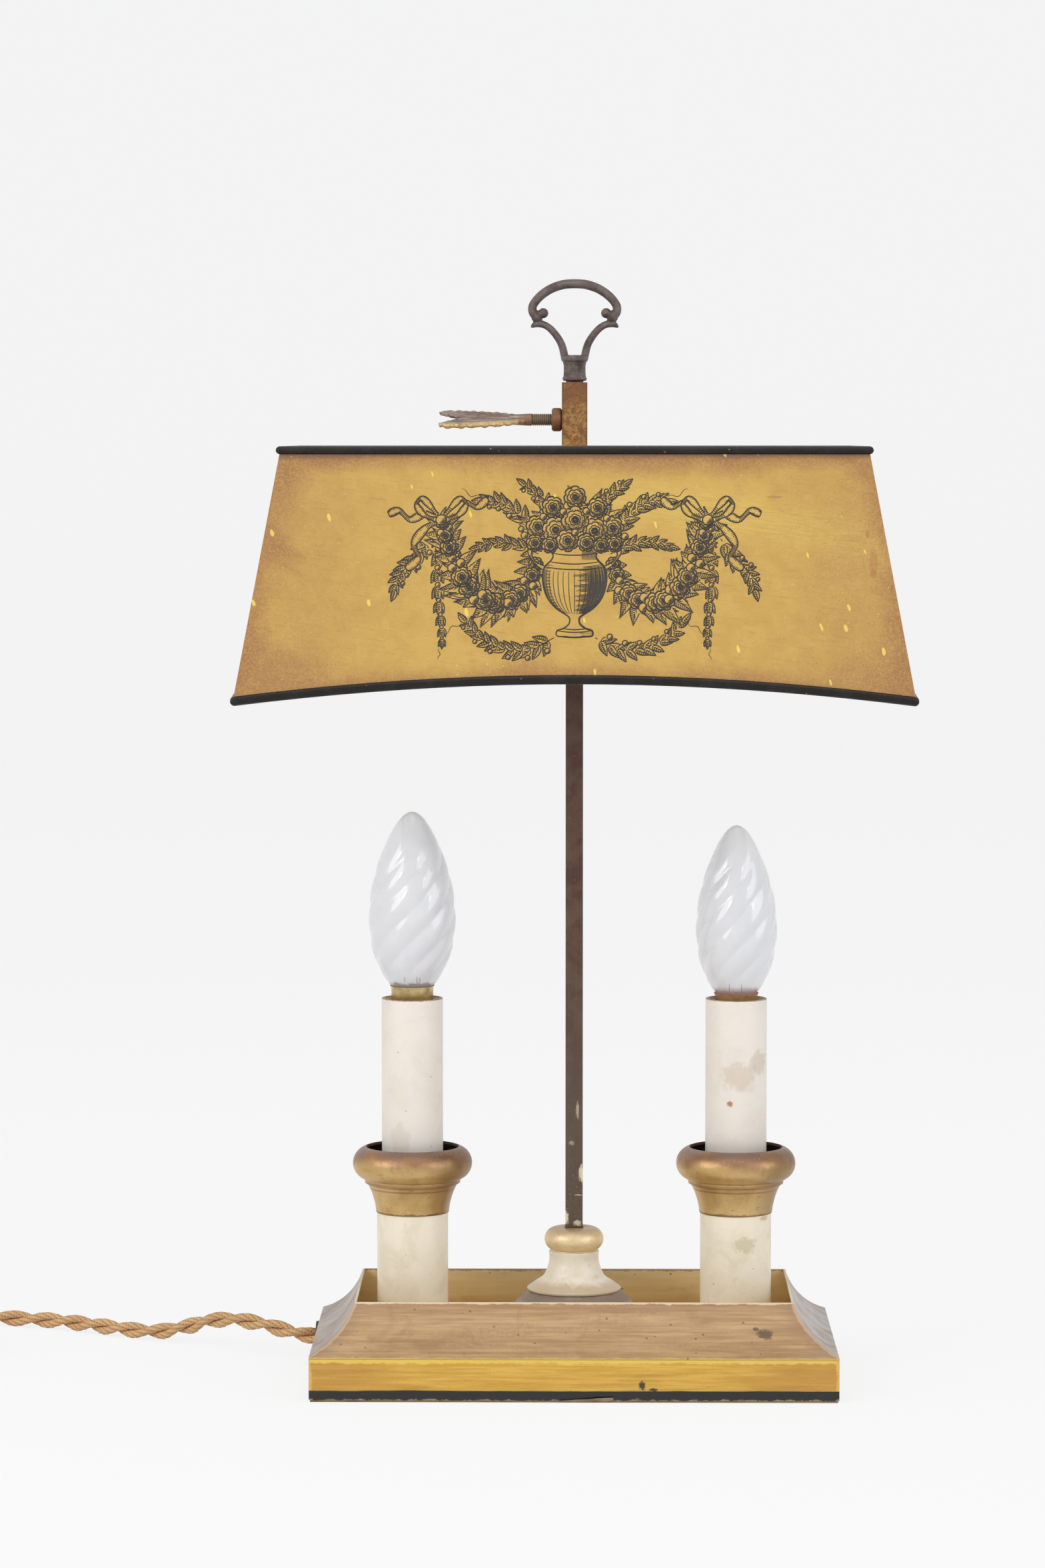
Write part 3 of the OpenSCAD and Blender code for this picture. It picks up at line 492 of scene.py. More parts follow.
def twistedPair(name, path, pitch, strand, sides=8):
    # two round strands twisted about the path. U goes round a strand and V along it, in metres
    vertices, faces, around = [], [], []
    count = len(path)
    step = (path[1] - path[0]).length
    for side in (0, 1):
        first = len(vertices)
        for i, centre in enumerate(path):
            along = (path[min(i + 1, count - 1)] - path[max(i - 1, 0)]).normalized()
            x = along.cross(Vector((0, 0, 1))).normalized()
            y = x.cross(along)
            turn = 2 * math.pi * i * step / pitch + math.pi * side
            middle = centre + (x * math.cos(turn) + y * math.sin(turn)) * (strand / 2)
            for j in range(sides):
                a = turn + 2 * math.pi * j / sides
                vertices.append(middle + (x * math.cos(a) + y * math.sin(a)) * (strand / 2))
        for i in range(count - 1):
            for j in range(sides):
                k = (j + 1) % sides
                a, b = first + i * sides, first + (i + 1) * sides
                faces.append((a + j, a + k, b + k, b + j))
                corners = ((j, i), (j + 1, i), (j + 1, i + 1), (j, i + 1))
                around.append([(u / sides, v * step) for u, v in corners])
        last = first + (count - 1) * sides
        faces.append([first + j for j in reversed(range(sides))])
        faces.append([last + j for j in range(sides)])
        around += [[(j / sides, 0) for j in range(sides)]] * 2
    piece = meshPiece(name, vertices, faces)
    layer = piece.data.uv_layers.new(name="braidMap")
    layer.data.foreach_set("uv", [value for face in around for corner in face for value in corner])
    turnOutwards(piece)
    smoothShade(piece, 60)
    return piece


def braidMaterial():
    # carriers of thread that cross in both directions, with painted light on the threads that lie on top and
    # painted shade in the gaps between them
    values = cordValues
    paint = Paint("goldenBraid", values["thread"], Roughness=0.62, Sheen_Weight=0.35, Sheen_Roughness=0.4)
    u, v, level = paint.split(paint.around)
    along = v * values["picks"]
    left = u * values["carriers"] + along
    right = u * values["carriers"] - along
    leftWave, rightWave = (abs(turn.maths("SINE", turn * math.pi)) for turn in (left, right))
    top = leftWave.most(rightWave)
    # painted highlight on the threads that lie on top, then painted shade in the gaps
    paint.coat(leftWave > rightWave, values["litThread"])
    paint.coat(top.ease(0.75, 0.2), values["gap"])
    paint.coat(paint.mottle(0.012)[0].ease(0.42, 0.75, 0.0, 0.45), values["soiled"])
    return paint.finish(top, 0.00025)


def makeCord():
    values = cordValues
    path = evenly(cordPath(), values["step"])
    piece = twistedPair("twistedCord", path, values["twist"], values["strand"])
    assign(piece, braidMaterial(), "lamp", "braid", "cord_lead", "cord_middle", "cord_coil", "cord_tail")
    return piece, path


print("finishes")

shadeValues = {
    "topWidth": 0.2337, "lowWidth": 0.2676, "topDepth": 0.117, "lowDepth": 0.155, "topZ": 0.3775,
    "cornerZ": 0.2768, "archFront": 0.0084, "archSide": 0.0036, "bead": 0.0032, "slope": 0.12,
    "scratchTurn": 42,
    "dark": (0.545, 0.330, 0.078), "light": (0.605, 0.385, 0.094), "bright": (0.72, 0.51, 0.12),
    "patina": (0.315, 0.138, 0.060), "edge": (0.17, 0.085, 0.055), "bare": (0.80, 0.62, 0.24),
    "speckle": (0.26, 0.12, 0.055), "fleck": (0.86, 0.66, 0.13),
    # cell, share, radius, how tall and strength
    "flecks": [(0.0115, 0.33, 0.060, 2.3, 0.85), (0.006, 0.12, 0.04, 1.0, 0.5)],
    # centre, half size, strength, colour
    "stains": [((0.1165, -0.067, 0.3325), (0.0022, 0.02, 0.0068), 0.34, (0.36, 0.13, 0.045)),
               ((0.1163, -0.067, 0.3278), (0.0017, 0.02, 0.0019), 0.42, (0.36, 0.13, 0.045)),
               ((0.1141, -0.065, 0.3433), (0.0010, 0.02, 0.0021), 0.45, (0.36, 0.13, 0.045)),
               ((0.1196, -0.065, 0.3445), (0.0009, 0.02, 0.0012), 0.50, (0.36, 0.13, 0.045))],
    "scuffs": [((0.0779, -0.062, 0.3577), (0.0038, 0.02, 0.0006), 0.5, (0.315, 0.138, 0.060))],
    "inside": (0.72, 0.67, 0.55), "insideCloud": (0.58, 0.50, 0.36), "insideDots": (0.30, 0.20, 0.12),
    "black": (0.007, 0.006, 0.005), "blackWorn": (0.020, 0.016, 0.013), "blackChips": (0.19, 0.105, 0.05),
    "blackDust": (0.42, 0.40, 0.36),
}


def shadeEdges(paint, x, y, z):
    # how far a point of the shade lies from the nearest slanted edge, and over the low edge
    values = shadeValues
    tall = values["topZ"] - values["cornerZ"]

    def spare(along, top, low, arch):
        half = (values["topZ"] - z) * ((low - top) / 2 / tall) + top / 2
        share = abs(along) / half
        return half - abs(along), z - (share * share * -arch + (values["cornerZ"] + arch))

    fromSide, overFront = spare(x, values["topWidth"], values["lowWidth"], values["archFront"])
    fromFront, overSide = spare(y, values["topDepth"], values["lowDepth"], values["archSide"])
    low = addLevel(paint.tree, "Mix", {0: fromFront < fromSide, 2: overSide, 3: overFront})
    return fromSide.most(fromFront), low


def mustardMaterial():
    values = shadeValues
    paint = Paint("scumbledMustard", values["dark"], Roughness=0.45)
    run, x, y, z = paint.lengthwise(values["slope"])
    side, lowEdge = shadeEdges(paint, x, y, z)
    fromTop = values["topZ"] - values["bead"] - z
    cloud = paint.mottle(0.042)[0]
    small, grain = paint.mottle(0.009)
    brush, fine = paint.streaks(0.0011, 11.0, run)
    paint.coat((cloud * 0.35 + small * 0.65).ease(0.36, 0.64), values["light"])
    # a lighter brushed sweep that falls from the top middle to the right
    fall = x * 0.16 + (z - 0.3665)
    sweep = abs(cloud * 0.012 + fall).ease(0.014, 0.002) * x.ease(-0.01, 0.03)
    sweep = sweep * brush.ease(0.42, 0.60, 0.25, 1.0)
    paint.coat(sweep * 0.6, values["bright"])
    paint.coat(fine.ease(0.56, 0.80, 0.0, 0.35), values["bright"])
    paint.coat(brush.ease(0.54, 0.72, 0.0, 0.24), values["patina"])
    # short slanting scratches
    slant = {"Vector": run, "Angle": math.radians(values["scratchTurn"])}
    slanted = addLevel(paint.tree, "VectorRotate", slant, rotation_type="Y_AXIS")
    scratch = paint.streaks(0.00045, 9.0, slanted)[0]
    paint.coat(scratch.ease(0.63, 0.72) * small.ease(0.46, 0.62) * 0.4, values["patina"])
    # browner towards the corners and the edges, and over both ends
    shift = cloud * 0.044 + -0.022
    nearSide = (side + shift).ease(0.026, 0.001)
    nearLow = (shift * 0.35 + lowEdge).ease(0.012, 0.001)
    nearTop = (shift * 0.35 + fromTop).ease(0.011, 0.0005)
    corner = (side * 0.7 + (lowEdge + shift)).ease(0.056, 0.014)
    rub = nearSide.most(corner * 0.9).most((nearLow * 0.95).most(nearTop))
    rightEnd = x.ease(0.055, 0.115, 0.0, 0.5) * cloud.ease(0.36, 0.66)
    leftEnd = x.ease(-0.062, -0.112, 0.0, 0.34)
    rub = rub.most(rightEnd.most(leftEnd))
    paint.coat(rub * grain.ease(0.34, 0.60, 0.50, 1.0) * 0.86, values["patina"])
    rim = (shift * 0.10 + lowEdge).ease(0.0026, 0.0).most((shift * 0.12 + fromTop).ease(0.0026, 0.0))
    paint.coat(rim * 0.7, values["edge"])
    paint.coat(paint.worn(side, width=0.0007, size=0.006) * 0.75, values["bare"])
    # fine brown speckle, pale flecks, stains and a scuff
    dots = paint.specks(cell=0.0013, share=0.5, radius=0.24)
    paint.coat(dots * (rub * 0.5 + 0.20), values["speckle"])
    for cell, share, radius, tall, strength in values["flecks"]:
        paint.coat(paint.flecks(cell, share, radius, tall, run) * strength, values["fleck"])
    paint.spots(values["stains"], 0.12)
    paint.spots(values["scuffs"], 0.8)
    return paint.finish(grain * 0.6 + brush, 0.00022, 0.45, Roughness=rub.ease(0.0, 1.0, 0.42, 0.60))


def shadeInsideMaterial():
    values = shadeValues
    paint = Paint("creamInside", values["inside"], Roughness=0.55)
    cloud, grain = paint.mottle(0.03)
    paint.coat(cloud.ease(0.4, 0.7, 0.0, 0.5), values["insideCloud"])
    paint.coat(paint.specks(cell=0.004, share=0.2, radius=0.14) * 0.5, values["insideDots"])
    return paint.finish(grain, 0.0002, 0.4)


def blackRimMaterial():
    values = shadeValues
    paint = Paint("blackRim", values["black"], Roughness=0.3, Specular_IOR_Level=0.30)
    cloud, grain = paint.mottle(0.008)
    paint.coat(cloud.ease(0.4, 0.75), values["blackWorn"])
    paint.coat(paint.specks(cell=0.007, share=0.22, radius=0.11) * 0.8, values["blackChips"])
    paint.coat(paint.specks(cell=0.003, share=0.2, radius=0.12) * 0.5, values["blackDust"])
    return paint.finish(cloud, 0.0003, 0.5, Roughness=grain.ease(0.3, 0.8, 0.22, 0.45))


trayValues = {
    "halfLong": 0.105, "halfDeep": 0.0585, "stripeTop": 0.0041, "ledge": 0.0166, "coveFoot": 0.0170,
    "mitre": 0.0465, "rimZ": 0.037, "insideFoot": 0.0178,
    "ochre": (0.60, 0.34, 0.045), "ochreLight": (0.74, 0.46, 0.085), "ochreDark": (0.42, 0.20, 0.035),
    "ochreEnds": (0.50, 0.235, 0.045), "yellow": (0.80, 0.58, 0.10), "grit": (0.36, 0.19, 0.04),
    "bandCorner": (0.70, 0.45, 0.12), "stripe": (0.010, 0.011, 0.011), "stripeChips": (0.14, 0.085, 0.04),
    "stripeFoot": (0.40, 0.29, 0.175),
    "cove": (0.41, 0.245, 0.115), "coveLight": (0.62, 0.41, 0.21), "coveDark": (0.30, 0.165, 0.075),
    "coveFine": (0.70, 0.52, 0.30), "covePatch": (0.33, 0.185, 0.09), "coveTop": (0.31, 0.175, 0.09),
    # the grey of the end walls is a painted reflection sheen, and its darker left colour painted shade
    "washAndSheen": (0.56, 0.54, 0.545), "endSheenDark": (0.35, 0.31, 0.29), "leftEndShade": (0.30, 0.25, 0.23),
    "seam": (0.33, 0.20, 0.115), "solder": (0.62, 0.42, 0.28), "raw": (0.80, 0.64, 0.44),
    "coveLedge": (0.66, 0.45, 0.12), "coveDots": (0.12, 0.07, 0.04), "coveBits": (0.76, 0.62, 0.42),
    "inside": (0.84, 0.645, 0.35), "insideLight": (0.90, 0.73, 0.43), "insideCloud": (0.58, 0.40, 0.18),
    "insideRim": (0.15, 0.11, 0.07), "insideDots": (0.12, 0.08, 0.05),
    "paper": (0.34, 0.235, 0.14), "paperDark": (0.22, 0.145, 0.085), "fibres": (0.50, 0.38, 0.25),
    # centre, half size, strength, colour
    "bandSpots": [((0.0270, -0.0585, 0.0068), (0.0016, 0.01, 0.0022), 1.0, (0.06, 0.04, 0.02)),
                  ((0.0315, -0.0585, 0.0052), (0.0022, 0.01, 0.0008), 1.0, (0.06, 0.04, 0.02))],
    "coveSpots": [((0.0757, -0.0520, 0.0252), (0.0042, 0.02, 0.0022), 0.85, (0.10, 0.065, 0.045)),
                  ((0.0722, -0.0520, 0.0272), (0.0016, 0.02, 0.0009), 0.85, (0.10, 0.065, 0.045))],
}


def bandMaterial():
    values = trayValues
    paint = Paint("yellowBand", values["ochre"], Roughness=0.42)
    run, x, y, z = paint.lengthwise()
    marks, fine = paint.streaks(0.0013, 26.0, run)
    broad = paint.streaks(0.005, 9.0, run)[0]
    paint.coat(marks.ease(0.38, 0.66), values["ochreLight"])
    paint.coat(broad.ease(0.5, 0.72, 0.0, 0.6), values["ochreDark"])
    paint.coat(fine.ease(0.55, 0.8, 0.0, 0.4), values["yellow"])
    paint.coat((broad * 0.05 + abs(x)).ease(0.075, 0.118, 0.0, 0.55), values["ochreEnds"])
    paint.coat(paint.worn(values["ledge"] - z, width=0.0011, size=0.004) * 0.85, values["yellow"])
    paint.coat(paint.specks(cell=0.0016, share=0.35, radius=0.2) * 0.4, values["grit"])
    corner = (values["halfLong"] - abs(x)).most(values["halfDeep"] - abs(y))
    paint.coat(paint.worn(corner, width=0.0012, size=0.003), values["bandCorner"])
    # the black stripe along the foot, chipped down to brown
    wave = broad * 0.0016 + values["stripeTop"]
    stripe = z.ease(wave, wave - 0.0004)
    chips = paint.specks(cell=0.006, share=0.28, radius=0.17)
    black = paint.blend(chips, values["stripe"], values["stripeChips"])
    black = paint.blend(paint.worn(z, width=0.0011, size=0.004), black, values["stripeFoot"])
    paint.coat(stripe, black)
    paint.spots(values["bandSpots"], 0.9)
    rough = marks.ease(0.3, 0.7, 0.36, 0.55) * stripe.ease(0.2, 0.8, 1.0, 0.6)
    return paint.finish(marks + paint.mottle(0.012)[1] * 0.6, 0.0003, 0.6, Roughness=rough)


def coveMaterial():
    values = trayValues
    paint = Paint("brownCove", values["cove"], Roughness=0.46)
    run, x, y, z = paint.lengthwise()
    marks, fine = paint.streaks(0.0014, 30.0, run)
    broad = paint.streaks(0.006, 10.0, run)[0]
    cloud, grain = paint.mottle(0.016)
    paint.coat((broad * 0.5 + marks * 0.5).ease(0.40, 0.60), values["coveLight"])
    paint.coat(cloud.ease(0.52, 0.78, 0.0, 0.55), values["coveDark"])
    paint.coat(fine.ease(0.55, 0.8, 0.0, 0.35), values["coveFine"])
    # browner in long patches, along the rim and beside the mitres
    paint.coat(broad.ease(0.46, 0.62, 0.0, 0.62) * grain.ease(0.36, 0.6, 0.6, 1.0), values["covePatch"])
    paint.coat((broad * 0.012 + z).ease(0.0365, 0.0425, 0.0, 0.5), values["coveTop"])
    # the end walls are greyer: a painted reflection sheen, with painted shade on the left end
    across = abs(x) - abs(y)
    washAndSheen = paint.blend(cloud.ease(0.42, 0.66, 0.0, 0.7), values["washAndSheen"], values["endSheenDark"])
    washAndSheen = paint.blend(x.ease(0.05, -0.05, 0.0, 0.45), washAndSheen, values["leftEndShade"])
    paint.coat((across > values["mitre"]) * 0.78, washAndSheen)
    # solder along the mitres, a pale raw rim and the yellow ledge at the foot
    seam = abs(across - values["mitre"])
    paint.coat((cloud * 0.012 + seam).ease(0.014, 0.006, 0.0, 0.5), values["seam"])
    paint.coat(paint.worn(seam, width=0.0011, size=0.004) * 0.75, values["solder"])
    paint.coat(paint.worn(values["rimZ"] - z, width=0.0007, size=0.005) * 0.9, values["raw"])
    paint.coat(paint.worn(z - values["coveFoot"], width=0.0009, size=0.006) * 0.7, values["coveLedge"])
    dots = paint.specks(cell=0.0032, share=0.16, radius=0.17)
    paint.coat(dots * 0.6, values["coveDots"])
    paint.coat(paint.specks(cell=0.013, share=0.22, radius=0.07, place=run) * 0.6, values["coveBits"])
    paint.spots(values["coveSpots"], 0.7)
    return paint.finish(marks + dots * 0.8, 0.0004, 0.6, Roughness=cloud.ease(0.3, 0.7, 0.38, 0.6))


def trayInsideMaterial():
    values = trayValues
    paint = Paint("oliveInside", values["inside"], Roughness=0.5)
    run, x, y, z = paint.lengthwise()
    marks = paint.streaks(0.003, 14.0, run)[0]
    paint.coat(marks.ease(0.35, 0.7), values["insideLight"])
    paint.coat(paint.mottle(0.02)[0].ease(0.5, 0.75, 0.0, 0.6), values["insideCloud"])
    paint.coat(paint.worn(values["rimZ"] - z, width=0.0009, size=0.003) * 0.6, values["insideRim"])
    paint.coat(paint.specks(cell=0.005, share=0.2, radius=0.14) * 0.6, values["insideDots"])
    return paint.finish(marks, 0.0004, 0.5)


def paperMaterial():
    values = trayValues
    paint = Paint("brownPaper", values["paper"], Roughness=0.9)
    fibres = paint.streaks(0.0006, 9.0)[0]
    paint.coat(paint.mottle(0.01)[0].ease(0.35, 0.7), values["paperDark"])
    paint.coat(fibres.ease(0.55, 0.8, 0.0, 0.5), values["fibres"])
    return paint.finish(fibres, 0.0003, 0.6)


candleValues = {
    "away": 0.0656, "sleeveTop": 0.1545, "cupFoot": 0.0672, "cupFloor": 0.075,
    "grooves": ((0.0795, 0.0013), (0.0772, 0.0006)),  # height, width
    "cream": (0.90, 0.82, 0.665), "creamCloud": (0.74, 0.63, 0.45), "creamStain": (0.66, 0.51, 0.31),
    "creamFoot": (0.52, 0.40, 0.24), "creamDots": (0.36, 0.22, 0.10),
    "sleeve": (0.87, 0.808, 0.735), "sleeveDirt": (0.74, 0.65, 0.53), "sleeveDots": (0.45, 0.28, 0.18),
    "lip": (0.33, 0.16, 0.095),
    "gilt": (0.53, 0.34, 0.125), "giltLight": (0.66, 0.455, 0.195), "giltDark": (0.26, 0.12, 0.06),
    "rollTop": (0.26, 0.12, 0.065), "crown": (0.195, 0.155, 0.14), "shadow": (0.17, 0.085, 0.038),
    "cupRim": (0.16, 0.07, 0.03), "dust": (0.47, 0.40, 0.36),
    # centre, half size, strength, colour
    "tubeSpots": [((0.0690, -0.0144, 0.0555), (0.0055, 0.02, 0.0040), 0.5, (0.52, 0.44, 0.27)),
                  ((0.0768, -0.0080, 0.0660), (0.0020, 0.02, 0.0012), 0.5, (0.52, 0.20, 0.05))],
    "sleeveSpots": [((0.0665, -0.0124, 0.1235), (0.0085, 0.02, 0.0070), 0.5, (0.62, 0.50, 0.38)),
                    ((0.0742, -0.0090, 0.1290), (0.0040, 0.02, 0.0060), 0.5, (0.60, 0.47, 0.34)),
                    ((0.0628, -0.0124, 0.1128), (0.0015, 0.02, 0.0014), 0.95, (0.52, 0.20, 0.07)),
                    ((-0.0700, -0.0116, 0.0960), (0.0050, 0.02, 0.0100), 0.4, (0.70, 0.60, 0.48))],
}


def creamTubeMaterial():
    values = candleValues
    paint = Paint("creamTube", values["cream"], Roughness=0.38)
    x, y, z = paint.split()
    cloud = paint.mottle(0.016)[0]
    small = paint.mottle(0.005)[0]
    paint.coat(cloud.ease(0.42, 0.74, 0.0, 0.6), values["creamCloud"])
    paint.coat(small.ease(0.60, 0.78, 0.0, 0.35), values["creamStain"])
    paint.coat(z.ease(0.034, 0.018, 0.0, 0.35), values["creamFoot"])
    paint.coat(paint.specks(cell=0.004, share=0.14, radius=0.12) * 0.6, values["creamDots"])
    paint.spots(values["tubeSpots"], 0.8)
    return paint.finish(small, 0.0004, 0.35, Roughness=cloud.ease(0.3, 0.7, 0.32, 0.5))


def sleeveMaterial():
    values = candleValues
    paint = Paint("candleSleeve", values["sleeve"], Roughness=0.5,
                  Subsurface_Weight=0.08, Subsurface_Scale=0.002)
    x, y, z = paint.split()
    paint.coat(paint.mottle(0.018)[0].ease(0.42, 0.76, 0.0, 0.45), values["sleeveDirt"])
    paint.coat(paint.specks(cell=0.0034, share=0.12, radius=0.11) * 0.6, values["sleeveDots"])
    paint.coat(paint.worn(values["sleeveTop"] - z, width=0.00032, size=0.0015) * 0.85, values["lip"])
    paint.spots(values["sleeveSpots"], 0.75)
    return paint.finish(paint.mottle(0.004)[0], 0.0003, 0.35)


def cupMaterial():
    values = candleValues
    paint = Paint("bronzeGilt", values["gilt"], Metallic=0.5)
    x, y, z = paint.split()
    cloud = paint.mottle(0.013)[0]
    small = paint.mottle(0.0025)[0]
    paint.coat(cloud.ease(0.34, 0.66), values["giltLight"])
    paint.coat(small.ease(0.54, 0.78, 0.0, 0.35), values["giltDark"])
    # redder over the top of the roll and dusty on its crown
    high = z + (cloud * 0.014 + -0.007)
    paint.coat(high.ease(0.0855, 0.0915, 0.0, 0.85), values["rollTop"])
    paint.coat(high.ease(0.0905, 0.0945, 0.0, 0.55), values["crown"])
    # painted shade round the right side of either cup, where less light falls, and darker in the grooves
    aside = cloud * 0.006 + (x - x.maths("SIGN", x) * values["away"])
    paint.coat(aside.ease(0.007, 0.0205, 0.0, 0.62), values["shadow"])
    for level, width in values["grooves"]:
        paint.coat(abs(z - level).ease(width, width * 0.2, 0.0, 0.6), values["giltDark"])
    paint.coat(paint.worn(z - values["cupFoot"], width=0.0008, size=0.003) * 0.7, values["cupRim"])
    paint.coat(paint.streaks(0.0008, 9.0)[0].ease(0.61, 0.70, 0.0, 0.5), values["giltDark"])
    dust = paint.specks(cell=0.0012, share=0.5, radius=0.25)
    paint.coat(dust * high.ease(0.087, 0.093, 0.08, 0.55), values["dust"])
    return paint.finish(small, 0.0003, 0.3, Roughness=cloud.ease(0.3, 0.7, 0.30, 0.44))


stemValues = {
    "brown": (0.082, 0.040, 0.030), "olive": (0.118, 0.074, 0.049), "marks": (0.17, 0.11, 0.075),
    "grey": (0.132, 0.104, 0.076), "dots": (0.24, 0.19, 0.125), "cream": (0.72, 0.64, 0.48),
    # centre, half size, strength of the chips of cream paint
    "chips": [((0.0030, -0.0035, 0.0832), (0.0013, 0.006, 0.0042), 1.0),
              ((-0.0033, -0.0035, 0.0652), (0.0014, 0.006, 0.0030), 1.0),
              ((0.0014, -0.0035, 0.0630), (0.0019, 0.006, 0.0014), 0.8),
              ((0.0018, -0.0035, 0.0745), (0.0019, 0.006, 0.00028), 0.8),
              ((0.0014, -0.0035, 0.1090), (0.0008, 0.006, 0.0040), 0.45),
              ((-0.0010, -0.0035, 0.0957), (0.0013, 0.006, 0.0011), 0.35)],
    # base, wash, light, height and width of the washed band, metal, roughness
    "collarGilt": ((0.78, 0.60, 0.33), (0.30, 0.17, 0.085), (0.86, 0.70, 0.42), 0.0632, 0.0062, 0.22, 0.36),
    "bellCream": ((0.80, 0.72, 0.57), (0.52, 0.38, 0.22), (0.86, 0.80, 0.68), 0.0372, 0.0035, 0.0, 0.34),
    "domeGilt": ((0.31, 0.25, 0.205), (0.21, 0.145, 0.10), (0.37, 0.31, 0.255), 0.0335, 0.003, 0.1, 0.55),
}


def stemMaterial():
    values = stemValues
    paint = Paint("patinatedStem", values["brown"])
    x, y, z = paint.split()
    upright = addLevel(paint.tree, "CombineXYZ", {0: z, 1: x, 2: y})
    marks = paint.streaks(0.0009, 40.0, upright)[0]
    cloud, grain = paint.mottle(0.012)
    paint.coat(cloud.ease(0.36, 0.68), values["olive"])
    paint.coat(marks.ease(0.5, 0.78, 0.0, 0.6), values["marks"])
    # greyer and lighter towards the foot: a greyer paint with a painted sheen on it
    paint.coat(z.ease(0.20, 0.09, 0.0, 0.6), values["grey"])
    paint.coat(paint.specks(cell=0.002, share=0.3, radius=0.16) * 0.5, values["dots"])
    # cream paint left in chips above the foot
    chipped = z.ease(0.10, 0.062, 0.0, 0.3) * grain.ease(0.60, 0.66)
    for centre, shape, strength in values["chips"]:
        chipped = chipped.most(paint.spot(centre, shape, 0.9) * strength)
    paint.coat(chipped, values["cream"])
    return paint.finish(marks + chipped, 0.0002, 0.5, Roughness=marks.ease(0.3, 0.7, 0.38, 0.6),
                        Metallic=chipped.ease(0.1, 0.6, 0.5, 0.0))


def turnedMaterial(name):
    # paint on turned wood, with a brown wash left round one height
    base, washAndSheen, light, height, width, metal, rough = stemValues[name]
    paint = Paint(name, base, Metallic=metal)
    x, y, z = paint.split()
    cloud = paint.mottle(0.008)[0]
    small = paint.mottle(0.0025)[0]
    paint.coat(cloud.ease(0.36, 0.68), light)
    paint.coat(small.ease(0.55, 0.78, 0.0, 0.4), washAndSheen)
    near = abs(cloud * 0.004 + z - (height + 0.002))
    paint.coat(near.ease(width, width * 0.25, 0.0, 0.72), washAndSheen)
    return paint.finish(small, 0.0004, 0.4, Roughness=cloud.ease(0.3, 0.7, rough * 0.85, rough * 1.2))


sliderValues = {
    "low": (0.165, 0.060, 0.023), "high": (0.44, 0.235, 0.075), "small": (0.24, 0.105, 0.045),
    "blot": (0.20, 0.085, 0.035), "rubbed": (0.56, 0.34, 0.10), "grain": (0.66, 0.42, 0.13),
    "dots": (0.14, 0.065, 0.04), "edge": (0.13, 0.06, 0.04),
}


def sliderMaterial():
    values = sliderValues
    paint = Paint("mottledSlider", values["low"], Metallic=0.45)
    x, y, z = paint.split()
    small, grain = paint.mottle(0.0016)
    blot = paint.mottle(0.0038)[0]
    up = paint.mottle(0.009)[0] * 0.016 + z
    paint.coat(up.ease(0.409, 0.396, 0.15, 1.0), values["high"])
    paint.coat(small.ease(0.44, 0.58, 0.0, 0.8), values["small"])
    paint.coat(blot.ease(0.50, 0.62, 0.0, 0.7), values["blot"])
    paint.coat(blot.ease(0.44, 0.34, 0.0, 0.6), values["rubbed"])
    paint.coat(grain.ease(0.56, 0.72, 0.0, 0.6), values["grain"])
    paint.coat(paint.specks(cell=0.002, share=0.35, radius=0.2) * 0.7, values["dots"])
    # painted shade: darker near the four corners of the tube, where its faces turn away
    edge = (small * 0.0014 + abs(x).least(abs(y))).ease(0.0047, 0.0058)
    paint.coat(edge * 0.7, values["edge"])
    return paint.finish(small, 0.0005, 0.6, Roughness=small.ease(0.3, 0.7, 0.36, 0.6))


